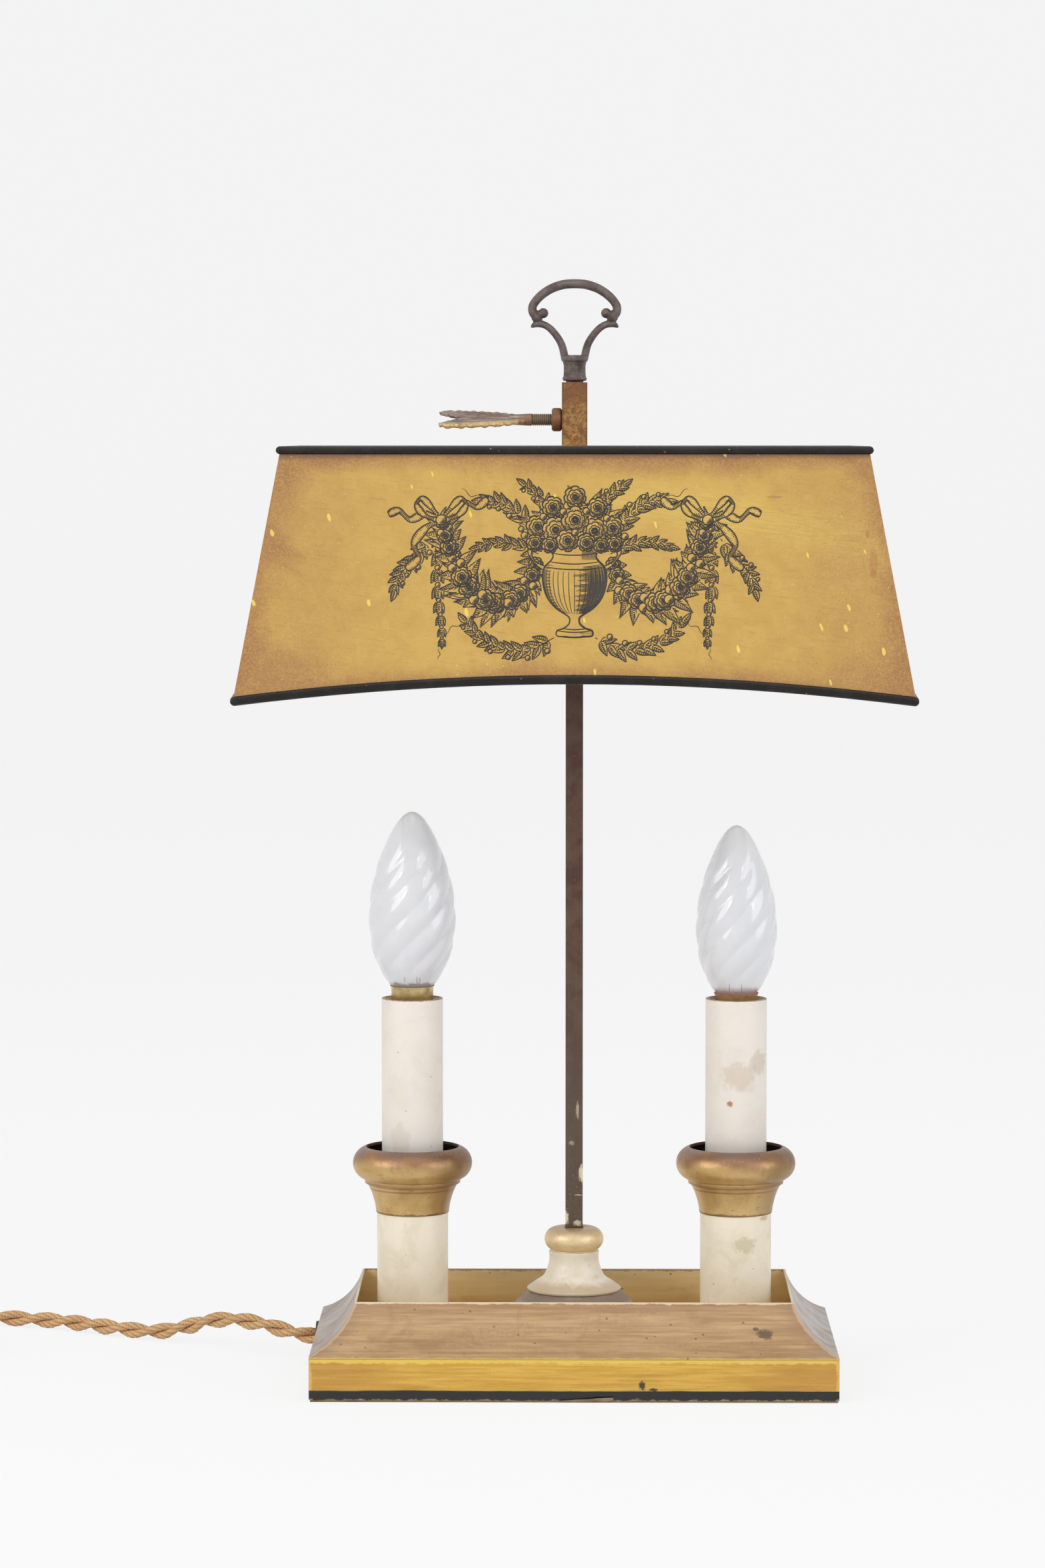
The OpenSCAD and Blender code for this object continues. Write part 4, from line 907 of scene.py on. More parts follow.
# even finishes: colour, colour of the patches, their size, metal, roughness, height of the grain,
# strength of the patches
plainValues = {
    "cupInside": ((0.10, 0.06, 0.035), (0.045, 0.028, 0.02), 0.006, 0.3, 0.6, 0.0002, 0.5),
    "bossPatina": ((0.24, 0.12, 0.06), (0.13, 0.065, 0.035), 0.004, 0.55, 0.45, 0.0004, 0.5),
    "screwPatina": ((0.26, 0.19, 0.135), (0.14, 0.09, 0.06), 0.003, 0.5, 0.40, 0.0002, 0.5),
    "handleBronze": ((0.150, 0.119, 0.110), (0.058, 0.038, 0.029), 0.0045, 0.6, 0.38, 0.0007, 0.85),
    "greyCement": ((0.20, 0.16, 0.15), (0.10, 0.08, 0.075), 0.002, 0.0, 0.7, 0.0002, 0.5),
    "redCement": ((0.40, 0.16, 0.10), (0.20, 0.08, 0.05), 0.002, 0.0, 0.7, 0.0002, 0.5),
    "capBrass": ((0.60, 0.47, 0.22), (0.32, 0.21, 0.09), 0.006, 0.95, 0.34, 0.0001, 0.8),
    "wornBrass": ((0.58, 0.43, 0.19), (0.30, 0.19, 0.08), 0.006, 0.95, 0.34, 0.0001, 0.8),
    "steelPlate": ((0.34, 0.33, 0.31), (0.22, 0.20, 0.18), 0.012, 0.9, 0.42, 0.0002, 0.5),
    "rawIron": ((0.11, 0.105, 0.10), (0.06, 0.05, 0.045), 0.01, 0.6, 0.62, 0.0005, 0.5),
    "glazedPorcelain": ((0.82, 0.80, 0.74), (0.68, 0.64, 0.56), 0.008, 0.0, 0.2, 0.00005, 0.4),
    "darkBakelite": ((0.085, 0.040, 0.022), (0.045, 0.020, 0.012), 0.012, 0.0, 0.26, 0.00006, 0.7),
    "ivoryPlastic": ((0.74, 0.66, 0.49), (0.62, 0.52, 0.35), 0.010, 0.0, 0.34, 0.00005, 0.5),
    "brownRubber": ((0.075, 0.048, 0.032), (0.045, 0.030, 0.022), 0.006, 0.0, 0.7, 0.0002, 0.5),
    "barPatina": ((0.30, 0.20, 0.10), (0.16, 0.10, 0.055), 0.012, 0.7, 0.46, 0.0003, 0.5),
    "wireMetal": ((0.32, 0.30, 0.28), (0.20, 0.17, 0.15), 0.003, 0.8, 0.4, 0.0001, 0.5),
    "tieCotton": ((0.52, 0.40, 0.24), (0.38, 0.27, 0.15), 0.003, 0.0, 0.8, 0.0004, 0.5),
}


def plainMaterial(name):
    base, other, size, metal, rough, height, spread = plainValues[name]
    paint = Paint(name, base, Metallic=metal)
    cloud, grain = paint.mottle(size)
    paint.coat(cloud.ease(0.38, 0.70, 0.0, spread), other)
    paint.coat(grain.ease(0.58, 0.8, 0.0, spread * 0.6), other)
    return paint.finish(grain, height, 0.5, Roughness=cloud.ease(0.3, 0.7, rough * 0.85, rough * 1.2))


mustardPaint = mustardMaterial()
shadeInside = shadeInsideMaterial()
blackRim = blackRimMaterial()
bandPaint = bandMaterial()
covePaint = coveMaterial()
trayInside = trayInsideMaterial()
brownPaper = paperMaterial()
creamTube = creamTubeMaterial()
sleevePaint = sleeveMaterial()
cupGilt = cupMaterial()
stemPatina = stemMaterial()
sliderPatina = sliderMaterial()
turned = {name: turnedMaterial(name) for name in ("collarGilt", "bellCream", "domeGilt")}
plain = {name: plainMaterial(name) for name in plainValues}

print("dressed parts")


def copyOf(node, name):
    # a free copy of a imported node, merged and cleaned
    source = cadNodes[node]
    piece = source.copy()
    piece.data = source.data.copy()
    piece.name = name
    piece.data.name = name
    for key in list(piece.keys()):
        del piece[key]
    bpy.context.scene.collection.objects.link(piece)
    piece.parent = None
    piece.matrix_world = source.matrix_world.copy()
    piece.data.materials.clear()
    editAll(piece)
    bpy.ops.mesh.customdata_custom_splitnormals_clear()
    bpy.ops.mesh.remove_doubles(threshold=0.00001)
    bpy.ops.mesh.dissolve_limited(angle_limit=math.radians(0.6))
    leaveEdit()
    return piece


def dressed(node, name, material, body, slot, bevel=0.0004, segments=2, angle=30, smooth=35):
    # a copy with softened edges that stands for the node
    piece = copyOf(node, name)
    if bevel > 0:
        modify(piece, "BEVEL", width=bevel, segments=segments, limit_method="ANGLE",
               angle_limit=math.radians(angle), use_clamp_overlap=True)
    smoothShade(piece, smooth)
    assign(piece, material, body, slot, node)
    return piece


def paintInside(piece, material, test):
    # a second finish on the faces that pass the test
    piece.data.materials.append(material)
    for face in piece.data.polygons:
        if test(face):
            face.material_index = 1


# the axis that each wall faces along, and its direction
walls = {"front": (1, -1), "back": (1, 1), "left": (0, -1), "right": (0, 1)}


def makeBase():
    dressed("base_band", "baseBand", bandPaint, "lamp", "tray_paint", bevel=0.0005, segments=3)
    for side, (axis, way) in walls.items():
        wall = dressed("cove_" + side, side + "Cove", covePaint, "lamp", "tray_paint", bevel=0.00025)
        foot = trayValues["insideFoot"]
        paintInside(wall, trayInside, lambda face: face.normal[axis] * way < -0.15 and face.center.z > foot)
    dressed("tray_floor", "trayFloor", trayInside, "lamp", "tray_paint", bevel=0.0)
    dressed("lining", "paperLining", brownPaper, "lamp", "paper", bevel=0.0)
    dressed("cord_bushing", "cordBushing", plain["brownRubber"], "lamp", "bushing_rubber", bevel=0.0003)


tornValues = {
    "thick": 0.00016, "out": 0.0587, "wave": 0.12,
    # across, low edge, high edge, distance in front of the band, all in millimetres
    "strip": [(-8.0, 0.50, 0.62, 0.10), (-5.0, 0.45, 0.95, 0.25), (-1.5, 0.40, 1.15, 0.45),
              (2.0, 0.55, 1.45, 0.65), (5.5, 0.50, 1.60, 0.75), (9.0, 0.70, 1.95, 0.80),
              (12.0, 0.60, 2.05, 0.70), (14.6, 0.85, 2.25, 0.60), (15.6, 1.35, 2.10, 0.50)],
}


def makeTornPaper():
    # a sliver of the lining paper that has come away under the front edge
    values = tornValues
    deselectAll()
    bpy.ops.mesh.primitive_grid_add(x_subdivisions=8, y_subdivisions=3, size=2)
    piece = nameActive("tornPaper")
    for vertex in piece.data.vertices:
        x, low, high, out = values["strip"][round((vertex.co.x + 1) * 4)]
        share = (vertex.co.y + 1) / 2
        curl = out * (0.4 + 0.6 * share) + values["wave"] * math.sin(x * 1.3 + share * 2)
        vertex.co = (x * mm, -values["out"] - curl * mm, (low + (high - low) * share) * mm)
    editAll(piece)
    bpy.ops.mesh.subdivide(number_cuts=2, smoothness=0.6)
    leaveEdit()
    modify(piece, "SOLIDIFY", thickness=values["thick"], offset=0)
    smoothShade(piece, 50)
    assign(piece, brownPaper, "lamp", "paper")


def makeShade():
    for side, (axis, way) in walls.items():
        panel = dressed("shade_" + side, side + "Panel", mustardPaint, "shade", "painted_sheet", bevel=0.0)
        paintInside(panel, shadeInside, lambda face: face.normal[axis] * way < -0.3)
    for node, name, bevel in (("top_bead", "topBead", 0.0007), ("bottom_bead", "bottomBead", 0.0009)):
        dressed(node, name, blackRim, "shade", "black_bead", bevel=bevel, segments=3, angle=40, smooth=50)
    dressed("cross_bars", "crossBars", plain["barPatina"], "shade", "dark_brass", bevel=0.0003)
    dressed("slider", "slider", sliderPatina, "shade", "slider_gold", bevel=0.0006, segments=3)
    dressed("clamp_boss", "clampBoss", plain["bossPatina"], "shade", "slider_gold", bevel=0.0012, segments=4)
    dressed("clamp_pad", "clampPad", plain["wornBrass"], "clamp_slug", "brass_fittings", bevel=0.0002)


def makeStem():
    dressed("stem", "stem", stemPatina, "lamp", "dark_brass", bevel=0.0007, segments=3)
    dressed("stem_dome", "stemDome", turned["domeGilt"], "lamp", "turned_grey", bevel=0.0003)
    dressed("stem_bell", "stemBell", turned["bellCream"], "lamp", "turned_cream")
    dressed("stem_collar", "stemCollar", turned["collarGilt"], "lamp", "turned_gilt")


def makeCandle(side, centre):
    def isInside(face):
        outwards = face.normal.x * (face.center.x - centre) + face.normal.y * face.center.y
        return outwards < -0.0004 or (face.normal.z > 0.7 and face.center.z < candleValues["cupFloor"])

    dressed("candle_tube_" + side, side + "Tube", creamTube, "lamp", "cream_tube", bevel=0.0003)
    cup = dressed("cup_" + side, side + "Cup", cupGilt, "lamp", "cup_gilt", bevel=0.0003)
    paintInside(cup, plain["cupInside"], isInside)
    dressed("sleeve_" + side, side + "Sleeve", sleevePaint, "lamp", "sleeve_cream", bevel=0.0003)
    dressed("holder_body_" + side, side + "Holder", plain["glazedPorcelain"], "lamp", "porcelain")
    dressed("bulb_cap_" + side, side + "Cap", plain["capBrass"], "bulb_" + side, "bulb_cap", bevel=0.0002)


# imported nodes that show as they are, under their finish
nodeFinishes = {
    "wornBrass": ["nipples", "cup_nuts", "holder_brackets", "screw_shells", "centre_contacts",
                  "under_floor_nuts"],
    "wireMetal": ["bulb_contact_left", "bulb_mount_left", "bulb_contact_right", "bulb_mount_right"],
    "steelPlate": ["bottom_plate"], "rawIron": ["weight"], "glazedPorcelain": ["terminal_block"],
    "brownRubber": ["inner_leads"],
}


def finishNodes():
    for finish, nodes in nodeFinishes.items():
        for node in nodes:
            for slot in cadNodes[node].material_slots:
                slot.material = plain[finish]


makeBase()
makeTornPaper()
makeShade()
makeStem()
makeCandle("left", -candleValues["away"])
makeCandle("right", candleValues["away"])
finishNodes()

print("engraving")

# the drawing is laid out in millimetres round its middle. Lines with a way are mirrored for the left half
printValues = {
    "height": 0.3297, "outline": 0.238, "hatch": 0.158, "fine": 0.121, "flat": 0.06, "raise": 0.00003,
    "ink": (0.026, 0.023, 0.022), "inkWorn": (0.045, 0.036, 0.030), "inkThin": (0.22, 0.13, 0.045),
    "leaf": [(0, 0), (0.12, 0.36), (0.3, 0.48), (0.52, 0.45), (0.76, 0.26), (1, 0)],
    # size, petals, weight of the line, steps a petal, start and places of the hatching
    "petals": [(1.0, 7, 1.3, 8, 0.70, (-0.36, -0.24, -0.12, 0.0, 0.12, 0.24, 0.36)),
               (0.70, 6, 1.1, 6, 0.70, (-0.34, -0.17, 0.0, 0.17, 0.34)),
               (0.42, 5, 1.0, 6, 0.45, (-0.34, -0.17, 0.0, 0.17, 0.34))],
    "urn": [(3.0, -26.5), (6.8, -26.3), (6.8, -24.2), (4.4, -23.4), (2.2, -21.6), (1.9, -19.4),
            (3.4, -17.9), (7.2, -15.4), (10.6, -11.2), (12.2, -6.2), (12.4, -1.8), (11.6, 1.0), (9.6, 3.0),
            (8.4, 4.8), (8.8, 6.4), (11.4, 8.2), (12.6, 9.2)],
    "handle": [(11.8, 0.4), (15.2, 2.6), (17.4, 6.4), (16.4, 9.8), (13.4, 9.4), (13.6, 7.2)],
    "mouldings": (0, 3, 6, 9, 33, 36, 42),
    # the bow's ends with their half width, and its loop
    "ends": [([(0, 0), (6, -3.2), (10.5, -9.5), (9, -15), (13.5, -19.5)], 1.75),
             ([(0, 0), (-4.5, 3), (-9, 7.0), (-14, 5.2), (-18, 8.5)], 1.6),
             ([(0, 0), (6, 2.5), (12, 0.2), (16.5, 3.6), (20.5, 2.2)], 1.6)],
    "loop": [(0, 0), (3.6, 4.6), (7.4, 8.4), (9.6, 6.2), (7.2, 2.4), (3, 0.4), (0, 0)],
    # line, size, lean, seed, berries
    "sprays": [([(8, -27), (17, -31.5), (27, -31.5), (36, -27.5), (42, -21)], 6.6, 0.62, 0, True),
               ([(57, 12), (62, 4), (67.5, -1), (70, -8)], 6.4, 0.65, 2, True),
               ([(15, 14), (22, 22), (29, 26.5), (35, 27)], 6.8, 0.6, 4, True),
               ([(8, 20), (13, 28), (19, 33)], 6.0, 0.55, 5, True),
               ([(14, 6), (22, 9.5), (30, 10.5), (37, 9)], 5.6, 0.6, 7, False)],
    # place, angle, length and way
    "tendrils": [(36, 28, 0.3, 9, 1), (44, -21, -0.5, 8, -1)],
    "festoon": [(14.5, 4), (18.5, -6.5), (27, -13), (36, -11.5), (44, -3), (50, 12), (51.5, 19)],
    "blossoms": [(-14.5, 17, 4.4), (14.8, 16.5, 4.4), (-8.5, 24.6, 4.2), (9.0, 24.4, 4.0), (0.2, 28.6, 4.3),
                 (-15.5, 10.4, 3.3), (15.7, 10.0, 3.2), (-7.4, 15.6, 5.2), (7.8, 15.2, 5.0), (0.2, 19.6, 5.4),
                 (-2.8, 11.4, 4.4), (4.6, 10.6, 3.6), (-9.6, 9.6, 3.2), (10.4, 9.4, 3.0)],
    "berries": [(-4.4, 22.8), (4.6, 23.0), (-12.2, 20.8), (12.6, 20.2), (0.2, 14.6), (-19.5, 13.4),
                (19.6, 13.0)],
}
strokes = []


def placed(x, y, angle, dx, dy):
    c, s = math.cos(angle), math.sin(angle)
    return x + dx * c - dy * s, y + dx * s + dy * c


def around(x, y, radius, angle):
    return x + radius * math.cos(angle), y + radius * math.sin(angle)


def between(a, b, share):
    return tuple(p + (q - p) * share for p, q in zip(a, b))


def mirrored(line, way):
    return [(way * x, y) for x, y in line]


def heading(path, i):
    # the direction of a line at one of its points
    a, b = path[max(i - 1, 0)], path[min(i + 1, len(path) - 1)]
    return math.atan2(b[1] - a[1], b[0] - a[0])


def lengthOf(line):
    return sum(math.dist(a[:2], b[:2]) for a, b in zip(line, line[1:]))


def isInsideOutline(x, y, outline):
    found = False
    for (ax, ay), (bx, by) in zip(outline, outline[1:] + outline[:1]):
        if (ay > y) != (by > y) and x < ax + (bx - ax) * (y - ay) / (by - ay):
            found = not found
    return found


def hideUnder(outline):
    # lines drawn before are cut away where a new form covers them
    xs, ys = [x for x, y in outline], [y for x, y in outline]
    left, right, low, high = min(xs), max(xs), min(ys), max(ys)
    kept = []
    for line in strokes:
        near = [left <= x <= right and low <= y <= high for x, y, r in line]
        if not any(near):
            kept.append(line)
            continue
        run = []
        for point, isNear in zip(line, near):
            if isNear and isInsideOutline(point[0], point[1], outline):
                kept.append(run)
                run = []
            else:
                run.append(point)
        kept.append(run)
    strokes[:] = [line for line in kept if len(line) > 1]


def stroke(points, pen, weight=1.0, taper=0.25):
    # a line that swells in its middle and thins to its ends
    width = printValues[pen] * weight
    last = max(len(points) - 1, 1)
    line = []
    for i, (x, y) in enumerate(points):
        swell = math.sin(math.pi * min(max(i / last, 0.03), 0.97)) ** 0.6
        line.append((x, y, width * (taper + (1 - taper) * swell)))
    strokes.append(line)


def printLeaf(x, y, angle, long, wide, dark=0.6):
    # a pointed leaf with a rib, shaded on one side
    shape = printValues["leaf"]
    bend = 0.12 * math.sin(7 * x + 3 * y)

    def edge(points, side):
        bent = [(a, side * b + bend * math.sin(math.pi * a)) for a, b in points]
        return [placed(x, y, angle, long * a, wide * b) for a, b in bent]

    outline = curve(shape, 2 if long > 5 else 1)
    top, low = edge(outline, 1), edge(outline, -1)
    hideUnder(top + low[::-1][1:-1])
    stroke(top, "outline")
    stroke(low, "outline", 1.25)
    stroke(edge([(0, 0), (0.3, 0), (0.6, 0), (0.92, 0)], 1), "hatch", 1.2)
    count = max(int(long / 0.78), 3)
    for i in range(1, count):
        a = i / count
        middle = bend * math.sin(math.pi * a)
        for side, share, weight in ((-1, 0.95, 1.25), (1, dark * (0.35 + 0.3 * ((i * 7) % 3)), 0.9)):
            reach = side * outlineAt(shape, a) * share
            line = [placed(x, y, angle, long * (a + p), wide * (middle + reach * q))
                    for p, q in ((0, 0), (0.05, 0.5), (0.12, 0.94))]
            stroke(line, "hatch", weight, 0.5)


def printBerry(x, y, r):
    ring = [around(x, y, r, a * math.pi / 7) for a in range(15)]
    hideUnder(ring[:-1])
    stroke(ring, "outline", 1.0, 0.9)
    for i in range(int(r / 0.42) + 1):
        k = r * (0.86 - i * 0.40 / max(r, 0.4))
        if k > 0.25:
            stroke([around(x, y, k, math.radians(a)) for a in range(-120, 41, 20)], "hatch", 1.1, 0.4)


def printBlossom(x, y, r, turn):
    # an open flower: scalloped rows of petals round a dark eye
    for row, (size, petals, weight, steps, low, places) in enumerate(printValues["petals"]):
        k = r * size
        shift = turn + row * 0.45
        ring = []
        for i in range(petals * steps + 1):
            a = 2 * math.pi * i / (petals * steps)
            lobe = 1 - 0.17 * (1 - abs(math.sin(petals * a / 2))) ** 2
            ring.append(around(x, y, k * lobe, a + shift))
        if row == 0:
            hideUnder(ring[:-1])
        stroke(ring, "outline", weight, 0.9)
        for i in range(petals):
            middle = 2 * math.pi * (i + 0.5) / petals
            for j, place in enumerate(places):
                a = middle + place * 2 * math.pi / petals * 1.1 + shift
                shade = 0.5 + 0.5 * math.cos(a + 0.9)
                top = low + (0.95 - low) * (0.30 + 0.62 * shade) * (1 if j % 2 else 0.7)
                stroke([around(x, y, k * low, a), around(x, y, k * top, a)], "fine", 1.1 + 0.6 * shade, 0.8)
    for share in (0.30, 0.20, 0.10):
        stroke([around(x, y, r * share * 0.8, a * 0.7) for a in range(10)], "outline", 1.0, 0.9)


def printTendril(x, y, angle, long, way):
    line = []
    for i in range(19):
        t = i / 18
        aside = 0.10 * math.sin(t * 9) * (1 - 0.3 * t) + 0.10 * t * t
        line.append(placed(x, y, angle, long * t, way * long * aside))
    stroke(line, "fine", 1.2)


def printRibbon(line, half, folds, seed=0.0):
    # a flat ribbon with shaded folds
    path = curve(line, 8)
    last = len(path) - 1

    def fold(i):
        return math.cos(seed + folds * 2 * math.pi * i / last)

    left, right = [], []
    for i, (x, y) in enumerate(path):
        breadth = half * (0.72 + 0.28 * fold(i))
        left.append(placed(x, y, heading(path, i), 0, breadth))
        right.append(placed(x, y, heading(path, i), 0, -breadth))
    hideUnder(left + right[::-1])
    stroke(left, "outline", 1.0, 0.8)
    stroke(right, "outline", 1.1, 0.8)
    stroke([left[-1], path[-1], right[-1]], "outline", 1.0, 0.8)
    count = int(lengthOf(path) / 0.55)
    for i in range(count):
        t = i / max(count - 1, 1) * last
        k = min(int(t), last - 1)
        a, b = (between(side[k], side[k + 1], t - k) for side in (left, right))
        reach = 0.20 + 0.95 * max(0.0, -fold(t)) + 0.14 * ((i * 5) % 4) / 4
        stroke([a, between(a, b, min(reach, 0.62))], "hatch", 1.25, 0.8)
        stroke([b, between(b, a, min(reach, 0.42))], "hatch", 1.25, 0.8)


def garland(line, size, seed):
    # leaves on both sides of a hanging line, then blossoms and berries on it
    path = curve(line, 8)
    last = len(path) - 1

    def swell(i):
        return 0.62 + 0.38 * math.sin(math.pi * (i / last))

    for i in range(1, last):
        for side in (1, -1):
            lean = side * (0.75 + 0.5 * math.sin(i * 2.3 + seed + side))
            long = size * swell(i) * (1.15 + 0.25 * math.sin(i * 1.7 + seed))
            printLeaf(*path[i], heading(path, i) + lean, long, size * 0.52 * swell(i))
    for i in range(2, last, 3):
        if (i // 3) % 3 == 2:
            for k in range(3):
                printBerry(*around(*path[i], 0.27 * size, k * 2.1 + seed), size * 0.23 * swell(i))
        else:
            printBlossom(*path[i], size * 0.50 * swell(i), i * 0.7 + seed)


def printHusks(x, y, count, size, way):
    # bell flowers that hang one from another, smaller downwards
    down = -math.pi / 2
    for i in range(count):
        s = size * (1 - 0.6 * i / count)
        drift = way * 0.9 * math.sin(i * 0.7)
        for turn, share in ((-0.42, 0.9), (0.42, 0.9), (0, 1.1)):
            printLeaf(x + drift, y, down + turn, s * share, s * 0.42, 0.8)
        printBerry(x + drift, y + 0.1 * s, s * 0.15)
        y -= s * 0.98
    printTendril(x, y, down, size * 0.55, way)


def spray(line, size, lean, seed, berries):
    # a twig with leaves in pairs and one at its tip
    path = curve(line, 6)
    last = len(path) - 1
    stroke(path, "outline", 1.2, 0.5)
    for i in range(2, last, 2):
        s = size * (1 - 0.35 * i / last)
        for side in (1, -1):
            printLeaf(*path[i], heading(path, i) + side * (lean + 0.2 * math.sin(i + seed)), s, s * 0.44)
        if berries and i % 4 == 2:
            tip = placed(*path[i], heading(path, i) + lean * 1.6, s * 0.6, 0)
            stroke([path[i], tip], "fine")
            printBerry(*tip, s * 0.17)
    printLeaf(*path[-1], heading(path, last), size * 0.8, size * 0.36)


def across(half, level, low, high, steps):
    # part of a line round the front of the urn, which sags in its middle
    shares = [low + (high - low) * k / steps for k in range(steps + 1)]
    return [(half * share, level - 0.10 * half * (1 - share ** 2)) for share in shares]


def upright(line, share, low, high):
    # part of the urn's side line, drawn in to a share of its width
    return [(half * share, level) for half, level in line if low <= level <= high]


def printUrn():
    line = curve(printValues["urn"], 3)
    for way in (-1, 1):
        printRibbon(mirrored(printValues["handle"], way), 0.85, 2)
    hideUnder(line + mirrored(line[::-1], -1))
    stroke(mirrored(line, -1), "outline", 1.2, 0.9)
    stroke(line, "outline", 1.7, 0.9)
    for i in printValues["mouldings"]:
        stroke(across(*line[i], -1, 1, 10), "outline", 1.0, 0.6)
    # flutes up the belly, closer and darker on the right
    for j in range(-8, 9):
        turn = j / 8.6 * math.pi / 2
        flute = [(half * math.sin(turn), level - 0.10 * half * math.cos(turn))
                 for half, level in line if -17.5 <= level <= 0.6]
        stroke(flute, "hatch", 1.0 + 0.9 * max(0, j / 8.6), 0.5)
    for j in range(20):
        turn = (0.30 + 0.66 * j / 19) * math.pi / 2
        low, high = -14.5 + 3 * (j % 3), 1.2 - 2.5 * ((j + 1) % 3)
        stroke(upright(line, math.sin(turn), low, high), "hatch", 1.15, 0.4)
    for j in range(11):
        share = 0.35 + 0.62 * j / 10
        for low, high in ((3.2, 8.6), (-25.9, -24.4)):
            stroke(upright(line, share, low, high), "hatch", 1.0, 0.4)
    for j in range(46):
        level = -17.0 + 0.42 * j
        half = outlineAt([(b, a) for a, b in line], level)
        start = 0.18 + 0.16 * math.sin(j * 1.3) + 0.10 * math.cos(j * 0.6)
        stroke(across(half, level, start, 0.99, 4), "fine", 1.35, 0.5)
        stroke(across(half, level, -0.99, -0.80 + 0.08 * math.sin(j * 2.1), 4), "fine", 1.0, 0.5)
    rim = [(12.6 * math.cos(a * math.pi / 12), 9.2 + 1.5 * math.sin(a * math.pi / 12)) for a in range(25)]
    stroke(rim, "outline", 1.2, 0.9)


def bow(x, y, way):
    # a knotted ribbon with two loops and fluttering ends
    for line, half in printValues["ends"]:
        printRibbon([(x + way * a, y + b) for a, b in line], half, 2, 1.6)
    for side in (-1, 1):
        printRibbon([(x + side * a, y + b) for a, b in printValues["loop"]], 1.35, 3, 1.2)
    printBerry(x, y, 2.1)


def drawPrint():
    values = printValues
    for way in (-1, 1):
        for line, size, lean, seed, berries in values["sprays"]:
            spray(mirrored(line, way), size, lean, seed + way, berries)
        printHusks(way * 52.5, 15, 8, 8.0, way)
        for x, y, angle, long, turn in values["tendrils"]:
            printTendril(way * x, y, angle if way > 0 else math.pi - angle, long, way * turn)
        garland(mirrored(values["festoon"], way), 8.4, 1.0 + way)
        bow(way * 52, 19.5, way)
    printUrn()
    for i in range(15):
        a = math.radians(12 + 156 * i / 14)
        long = 10.5 + 2.0 * math.sin(i * 1.9)
        printLeaf(11 * math.cos(a), 14 + 7 * math.sin(a), a + 0.25 * math.sin(i * 2.1), long, 4.6)
    for i in range(9):
        a = math.radians(-18 + 216 * i / 8)
        printLeaf(11 * math.cos(a), 12.5 + 5 * math.sin(a), a, 7.5, 3.8)
    for x, y, r in values["blossoms"]:
        printBlossom(x, y, r, x)
    for x, y in values["berries"]:
        printBerry(x, y, 1.35)
    # bits too short to see are left over where forms cover lines
    strokes[:] = [line for line in strokes if lengthOf(line) > 0.40]


def inkMaterial():
    values = printValues
    paint = Paint("blackInk", values["ink"], Roughness=0.5)
    cloud, grain = paint.mottle(0.012)
    paint.coat(cloud.ease(0.40, 0.70), values["inkWorn"])
    paint.coat(grain.ease(0.64, 0.76, 0.0, 0.5), values["inkThin"])
    return paint.finish()


def makePrint():
    # thin raised lines of ink on the front of the shade
    values = printValues
    drawPrint()
    lines = [[(x * mm, y * mm, 0.0, r) for x, y, r in line] for line in strokes]
    piece = barPiece("frontEngraving", lines, 0)
    faces = [face for face in bpy.data.objects["frontPanel"].data.polygons if face.normal.y < -0.5]
    panel = max(faces, key=lambda face: face.area)
    normal, centre = panel.normal, panel.center
    y = centre.y - normal.z * (values["height"] - centre.z) / normal.y
    piece.scale = (1, 1, values["flat"])
    piece.rotation_euler = (math.atan2(-normal.y, normal.z), 0, 0)
    piece.location = Vector((0, y, values["height"])) + normal * values["raise"]
    settle(piece)
    assign(piece, inkMaterial(), "shade", "painted_sheet")
    triangles = sum(len(face.vertices) - 2 for face in piece.data.polygons)
    print("engraving", len(lines), "lines", triangles, "triangles")


makePrint()

print("bulbs")

bulbValues = {
    "lobes": 8, "depth": 0.054, "twist": 3.58, "columns": 120, "rows": 54, "wall": 0.0008, "neck": 0.004,
    "neckRadius": 0.0079, "smoothTop": (0.70, 0.90), "smoothFoot": (0.03, 0.17),
    "outline": [(0, 0.50), (0.03, 0.60), (0.09, 0.745), (0.16, 0.865), (0.24, 0.95), (0.36, 1),
                 (0.47, 0.985), (0.62, 0.885), (0.77, 0.685), (0.88, 0.48), (0.955, 0.29), (0.985, 0.165),
                 (0.997, 0.074), (1, 0)],
    "cementRadius": 0.00842, "cementThick": 0.0006, "cementDrop": 0.0002,
    "frost": (0.968, 0.972, 1.0), "frostCloud": (0.93, 0.935, 0.975), "neckBandLeft": (0.36, 0.31, 0.29),
    "neckBandRight": (0.42, 0.25, 0.20), "wire": (0.22, 0.19, 0.19),
    # the lead wires that show through: side, across, height over the neck, half length
    "wires": [("left", -0.0683, 0.0030, 0.0017), ("left", -0.0634, 0.0030, 0.0019),
              ("left", -0.0622, 0.0029, 0.0015), ("right", 0.0625, 0.0030, 0.0024),
              ("right", 0.0674, 0.0030, 0.0024)],
}


